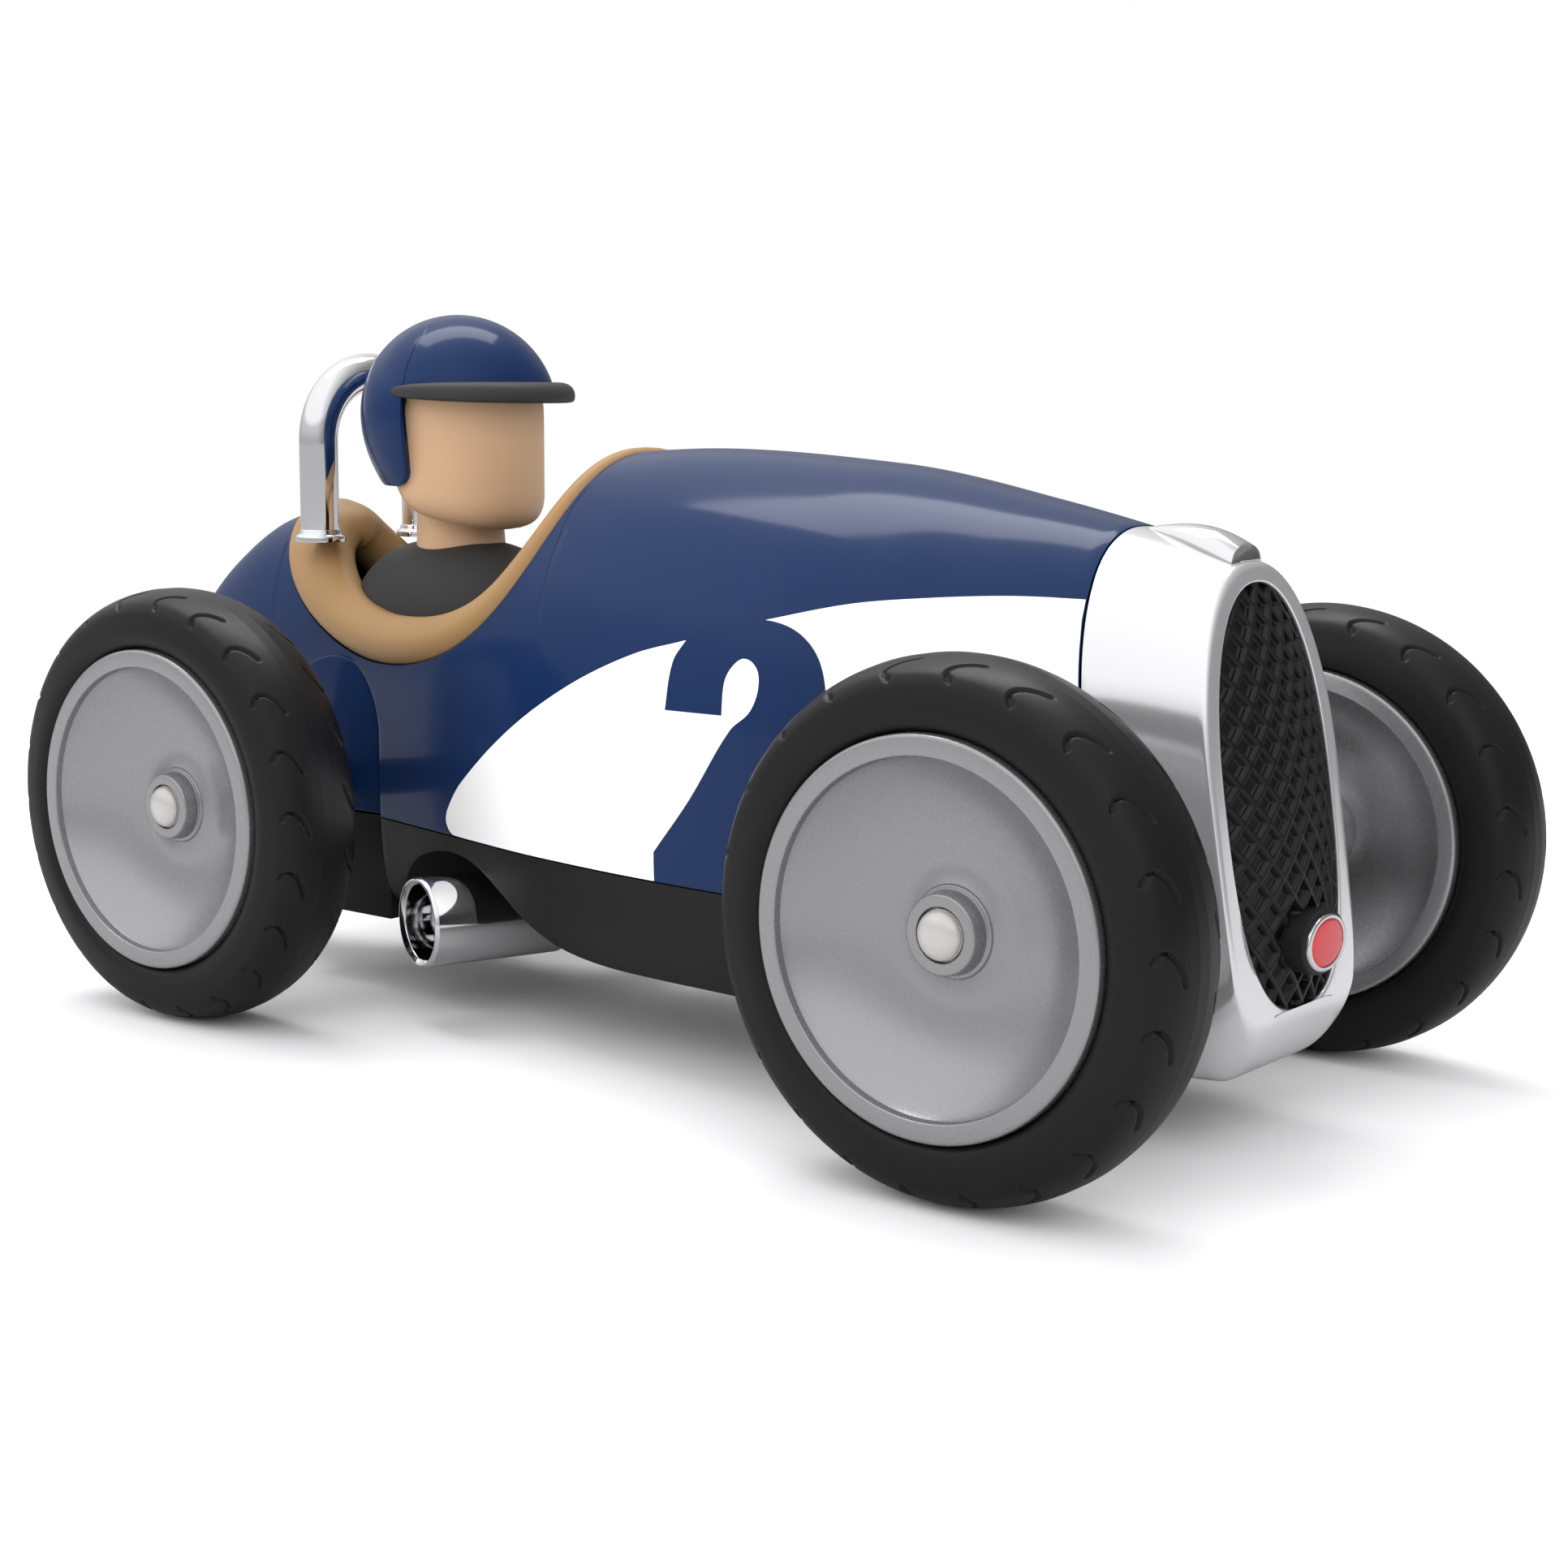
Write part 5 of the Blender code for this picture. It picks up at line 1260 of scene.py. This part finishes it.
def build_tyres():
    sizes = bpy.context.scene.toy_car_sizes
    around = sizes.sipes * 36
    outline = tyre_points()
    count = len(outline)

    def place(u, v):
        r, w = outline[round(v * count) % count]
        return (r * math.sin(2 * math.pi * u), r * math.cos(2 * math.pi * u), w)

    tyre = tidy(laid("tyre", around, count, place))
    points = np.empty(len(tyre.data.vertices) * 3, np.float32)
    tyre.data.vertices.foreach_get("co", points)
    points = points.reshape(-1, 3).astype(float)
    radius = np.hypot(points[:, 0], points[:, 1])
    angle = np.arctan2(-points[:, 0], points[:, 1])
    pitch = 2 * math.pi / sizes.sipes
    for sign in (1, -1):
        turned = (-sign * angle + (0 if sign > 0 else pitch / 2)) % pitch
        along = turned * WHEEL_RADIUS - 0.0024
        reach = sipe_distance(along, points[:, 2] * sign)
        groove = np.clip(1 - (reach - 0.00012) / 0.00032, 0, 1)
        groove = groove * groove * (3 - 2 * groove)
        outer = (radius > DISC_RADIUS + 0.0058) & (points[:, 2] * sign > 0.0015)
        depth = sizes.sipe_depth * groove * outer
        scale = 1 - depth / radius
        points[:, :2] *= scale[:, None]
        points[:, 2] -= sign * depth * 0.35
    set_points(tyre, points)
    for corner in CORNERS:
        twin = copied_to_hub(tyre, "tyre_tread", corner)
        settle(twin, MATERIALS["rubber"], f"wheel_{corner}", "rubber", f"tyre_{corner}", angle=70)
    bpy.data.objects.remove(tyre, do_unlink=True)


def copied_to_hub(form, name, corner):
    """A copy of a form modelled along Z, turned to face outwards at one wheel's hub."""
    outwards = (0, SIDES[corner.split("_")[1]], 0)
    return copied(form, f"{name}_{corner}", to_axis(outwards, HUBS[corner]))


def web(r, rim):
    """Height of the dished web over the wheel's middle: a bowl whose floor rises in a trumpet to the hub."""
    bowl = rim - 0.0078 * (1 - (r / 0.0258) ** 3.4)
    return bowl + 0.0010 * max(1 - (r - 0.0068) / 0.0050, 0.0) ** 2


def build_discs():
    half = 0.0099
    rim, boss = half - 0.0016, half - 0.0050
    front = [(r, web(r, rim)) for r in spread(0.0070, 0.0256, 44)]
    back = [(r, -web(r, rim)) for r in reversed(spread(0.0074, 0.0256, 30))]
    step = web(0.0070, rim)
    corners = [
        (0.0024, boss - 0.0015, 0), (0.0041, boss - 0.0015, 0), (0.0041, boss, 0.0002),
        (0.0060, boss, 0.0006), (0.0062, step + 0.0005, 0.0002), (0.0068, step + 0.0004, 0.0003),
    ]
    corners += [(r, h, 0) for r, h in front]
    corners += [
        (0.0260, half - 0.0013, 0.0002), (0.0262, half, 0.0004), (DISC_RADIUS, half - 0.0001, 0.0008),
        (DISC_RADIUS, -half, 0.0008), (0.0262, -half, 0.0004), (0.0260, -half + 0.0013, 0.0002),
    ]
    corners += [(r, h, 0) for r, h in back]
    corners += [(0.0064, -half, 0.0004), (0.0033, -half, 0), (0.0033, -half + 0.001, 0)]
    disc = spun("wheel_disc_form", rounded(corners, 5), steps=160)
    cap = rounded((
        (0, boss - 0.0013, 0), (0.00384, boss - 0.0013, 0), (0.00384, boss - 0.0001, 0.0003),
    ), 4)
    cap += [
        (0.0037 * math.cos(a), boss + 0.0016 * math.sin(a)) for a in spread(0.05, math.pi / 2, 14)
    ]
    cap = spun("cap_form", cap, steps=72)
    bush = rounded((
        (0.0021, 0.0032, 0.0001), (0.0030, 0.0032, 0.0002), (0.0030, -half, 0.0002),
        (0.0021, -half, 0.0001),
    ), 3)
    bush = spun("bush_form", bush, steps=64)
    for node, form, material, slot, rides in (
        ("wheel_disc", disc, "wheel", "silver_paint", "wheel"), ("axle_cap", cap, "pearl", "pearl", "car"),
        ("hub_bush", bush, "nylon", "nylon", "wheel"),
    ):
        for corner in CORNERS:
            twin = copied_to_hub(form, f"{node}_trim", corner)
            body = f"wheel_{corner}" if rides == "wheel" else "car"
            settle(twin, MATERIALS[material], body, slot, f"{node}_{corner}")
        bpy.data.objects.remove(form, do_unlink=True)


def build_axles():
    for axle, x in (("rear", REAR_X), ("front", FRONT_X)):
        low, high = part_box(f"{axle}_axle")
        end, r = high.y, 0.0020
        profile = rounded(((0, end, 0), (r, end, 0.0004), (r, -end, 0.0004), (0, -end, 0)), 3)
        rod = spun(f"{axle}_axle_wire", profile, (0, 1, 0), (x, 0, AXLE_HEIGHT), 48)
        settle(rod, MATERIALS["steel"], "car", "steel", f"{axle}_axle")
        for side, sign in SIDES.items():
            node = f"axle_spacer_{axle}_{side}"
            low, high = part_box(node)
            near, far = sorted((abs(low.y), abs(high.y)))
            profile = rounded((
                (0.0023, far, 0.0002), (0.0036, far, 0.0004), (0.0036, near, 0.0004), (0.0023, near, 0.0002),
            ), 3)
            tube = spun(f"{node}_sleeve", profile, (0, sign, 0), (x, 0, AXLE_HEIGHT), 64)
            settle(tube, MATERIALS["black"], "car", "black_satin", node)


def build_screws():
    """Round-headed screws with a socket, seen only from below."""
    for node in ("body_screw_rear", "body_screw_right", "body_screw_left", "nose_screw", "driver_screw"):
        low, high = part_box(node)
        at = ((low.x + high.x) / 2, (low.y + high.y) / 2, low.z)
        head, tall = 0.0026, high.z - low.z
        profile = rounded((
            (0, tall, 0), (0.0008, tall, 0), (0.00125, tall - 0.001, 0), (0.00125, 0.0016, 0.0002),
            (head, 0.0016, 0.0001), (head, 0.0, 0.0006), (0.0012, 0.0, 0.0001), (0.0011, 0.0009, 0),
            (0, 0.0010, 0),
        ), 4)
        screw = spun(f"{node}_form", profile, at=at, steps=48)
        settle(screw, MATERIALS["steel"], "car", "steel", node)


def paint_tray():
    tray = frame["nodes"]["cockpit_tray"]
    tray.data.materials.clear()
    tray.data.materials.append(MATERIALS["dark"])


# ---- Stage --------------------------------------------------------------------------------------


LIT_POINT = (0, 0, 0.05)


def area_light(name, at, size, power):
    deselect()
    bpy.ops.object.light_add(type="AREA", location=at)
    light = bpy.context.object
    light.name = name
    light.data.shape = "RECTANGLE"
    light.data.size, light.data.size_y = size
    light.data.energy = power
    light.rotation_euler = (Vector(LIT_POINT) - Vector(at)).to_track_quat("-Z", "Y").to_euler()
    return light


def fading_floor():
    """Matt white paper that brightens to pure white away from the car, so that it meets the background."""
    sheet = Finish("studio_floor_white", (0.88, 0.88, 0.885), 0.8, specular=0.05).clouds(0.8, 0.004)
    distance = sheet.node("ShaderNodeVectorMath", operation="LENGTH")
    sheet.link(sheet.place, distance.inputs[0])
    fade = sheet.mapped(distance.outputs["Value"], 0.0, 1.0, 0.24, 0.75)
    seen = sheet.node("ShaderNodeMath", operation="MULTIPLY")
    sheet.link(fade, seen.inputs[0])
    sheet.link(sheet.node("ShaderNodeLightPath").outputs["Is Camera Ray"], seen.inputs[1])
    glow = sheet.node("ShaderNodeEmission")
    glow.inputs["Color"].default_value = (1, 1, 1, 1)
    blend = sheet.node("ShaderNodeMixShader")
    sheet.link(seen.outputs["Value"], blend.inputs["Fac"])
    dim = sheet.node("ShaderNodeBsdfDiffuse")
    dim.inputs["Color"].default_value = (0.42, 0.42, 0.425, 1)
    mirrored_look = sheet.node("ShaderNodeMixShader")
    sheet.link(sheet.node("ShaderNodeLightPath").outputs["Is Glossy Ray"], mirrored_look.inputs["Fac"])
    sheet.link(sheet.shader.outputs["BSDF"], mirrored_look.inputs[1])
    sheet.link(dim.outputs["BSDF"], mirrored_look.inputs[2])
    sheet.link(mirrored_look.outputs["Shader"], blend.inputs[1])
    sheet.link(glow.outputs["Emission"], blend.inputs[2])
    out = next(node for node in sheet.tree.nodes if node.type == "OUTPUT_MATERIAL")
    sheet.link(blend.outputs["Shader"], out.inputs["Surface"])
    return sheet.material


def sky_ramp(sky, height, stops):
    ramp = sky.node("ShaderNodeValToRGB")
    ramp.color_ramp.interpolation = "EASE"
    while len(ramp.color_ramp.elements) < len(stops):
        ramp.color_ramp.elements.new(0.5)
    for element, (position, value) in zip(ramp.color_ramp.elements, stops):
        element.position = position
        element.color = (value, value, value * 1.01, 1)
    sky.link(height, ramp.inputs["Fac"])
    return ramp.outputs["Color"]


def build_stage():
    deselect()
    bpy.ops.mesh.primitive_plane_add(size=12.0, location=(0, 0, 0))
    floor = bpy.context.object
    floor.name = "studio_floor"
    floor.data.materials.append(fading_floor())
    build_world()
    area_light("top_softbox", (-0.35, 0.25, 1.15), (1.1, 0.45), 8)
    front = area_light("front_softbox", (0.9, -0.9, 0.9), (0.9, 0.9), 4)
    side = area_light("side_softbox", (-0.9, -0.9, 0.7), (0.8, 0.8), 5)
    for light in (front, side):
        light.visible_glossy = False
    build_camera()
    bpy.context.scene.view_settings.view_transform = "Standard"


def build_world():
    """White behind the car, an even dome for light, and for reflections a sky that is dim on the far side."""
    world = bpy.data.worlds.new("studio_world")
    bpy.context.scene.world = world
    world.use_nodes = True
    sky = Nodes(world.node_tree)
    direction = sky.node("ShaderNodeTexCoord").outputs["Generated"]
    parts = sky.node("ShaderNodeSeparateXYZ")
    sky.link(direction, parts.inputs["Vector"])
    height = parts.outputs["Z"]
    soft = sky_ramp(sky, height, ((0.0, 1.05), (0.6, 1.22)))
    seen = sky_ramp(sky, height, ((0.0, 0.45), (0.22, 0.62), (0.40, 1.05), (1.0, 1.1)))
    ahead = sky.node("ShaderNodeVectorMath", operation="DOT_PRODUCT")
    sky.link(direction, ahead.inputs[0])
    ahead.inputs[1].default_value = (0.62, 0.78, 0.0)
    dimmed = sky.node("ShaderNodeVectorMath", operation="SCALE")
    sky.link(seen, dimmed.inputs[0])
    sky.link(sky.mapped(ahead.outputs["Value"], 1.0, 0.22, -0.1, 0.8), dimmed.inputs["Scale"])
    path = sky.node("ShaderNodeLightPath").outputs
    glossy = sky.mixed(path["Is Glossy Ray"], soft, dimmed.outputs["Vector"])
    shown = sky.mixed(path["Is Camera Ray"], glossy, (1.0, 1.0, 1.0, 1))
    sky.link(shown, sky.tree.nodes["Background"].inputs["Color"])


def build_camera():
    azimuth, elevation, roll = (math.radians(a) for a in (38.534, 8.257, 0.313))
    back = Vector((
        math.sin(azimuth) * math.cos(elevation), -math.cos(azimuth) * math.cos(elevation), math.sin(elevation)
    ))
    deselect()
    bpy.ops.object.camera_add(location=(0.3075, -0.3524, 0.1164))
    camera = bpy.context.object
    camera.name = "studio_camera"
    camera.rotation_mode = "QUATERNION"
    facing = (-back).to_track_quat("-Z", "Y")
    camera.rotation_quaternion = Matrix.Rotation(roll, 4, back).to_quaternion() @ facing
    camera.data.sensor_width = 36.0
    camera.data.lens = 58.35
    camera.data.shift_x = 0.00244
    camera.data.shift_y = -0.01535
    camera.data.clip_start = 0.01
    camera.data.clip_end = 60.0
    bpy.context.scene.camera = camera


# ---- Operators ----------------------------------------------------------------------------------


def operator(name, label, text, *steps):
    """An operator class that runs the given building steps."""

    def execute(self, context):
        for step in steps:
            step()
        return {"FINISHED"}

    return type(
        "TOYCAR_OT_" + name, (bpy.types.Operator,),
        {"bl_idname": "toycar." + name, "bl_label": label, "__doc__": text, "execute": execute,
         "bl_options": {"REGISTER", "UNDO"}},
    )


OPERATORS = (
    operator("materials", "Materials", "Make the procedural finishes", make_materials),
    operator("body", "Body", "Build the body shell and the rear axle pads", build_body, build_pads),
    operator("decals", "Decals", "Lay the white flanks and the race number on the body", build_decals),
    operator("chassis", "Chassis", "Build the lower body with its exhaust arches", build_chassis, paint_tray),
    operator("nose", "Nose", "Build the nose shell and its ridge", build_nose, build_ridge),
    operator("grille", "Grille", "Build the diamond grille and the plain badge", build_grille, build_badge),
    operator("cockpit", "Cockpit", "Build the cockpit rim and the roll hoop", build_rim, build_hoop),
    operator(
        "driver", "Driver", "Build the blank driver figure and its helmet",
        build_torso, build_head, build_helmet,
    ),
    operator("exhausts", "Exhausts", "Build the stub exhausts", build_exhausts),
    operator("tyres", "Tyres", "Build the tyres with their hook-shaped sipes", build_tyres),
    operator("wheels", "Wheels", "Build the wheel discs, caps and bushes", build_discs),
    operator("axles", "Axles", "Build the axles, sleeves and screws", build_axles, build_screws),
    operator("stage", "Stage", "Set the floor, the lights and the camera", build_stage),
)


class TOYCAR_PT_panel(bpy.types.Panel):
    """Lists the building steps and their settings."""

    bl_label = "Toy Racing Car"
    bl_idname = "TOYCAR_PT_panel"
    bl_space_type = "VIEW_3D"
    bl_region_type = "UI"
    bl_category = "Toy Car"

    def draw(self, context):
        for settings in (context.scene.toy_car_colours, context.scene.toy_car_sizes):
            for name in settings.__annotations__:
                self.layout.prop(settings, name)
        for made in OPERATORS:
            self.layout.operator(made.bl_idname)


CLASSES = (ToyCarColours, ToyCarSizes, *OPERATORS, TOYCAR_PT_panel)


def register():
    for made in CLASSES:
        bpy.utils.register_class(made)
    bpy.types.Scene.toy_car_colours = bpy.props.PointerProperty(type=ToyCarColours)
    bpy.types.Scene.toy_car_sizes = bpy.props.PointerProperty(type=ToyCarSizes)


def unregister():
    del bpy.types.Scene.toy_car_sizes
    del bpy.types.Scene.toy_car_colours
    for made in reversed(CLASSES):
        bpy.utils.unregister_class(made)


def main():
    register()
    for made in OPERATORS:
        family, name = made.bl_idname.split(".")
        getattr(getattr(bpy.ops, family), name)()


if __name__ == "__main__":
    main()
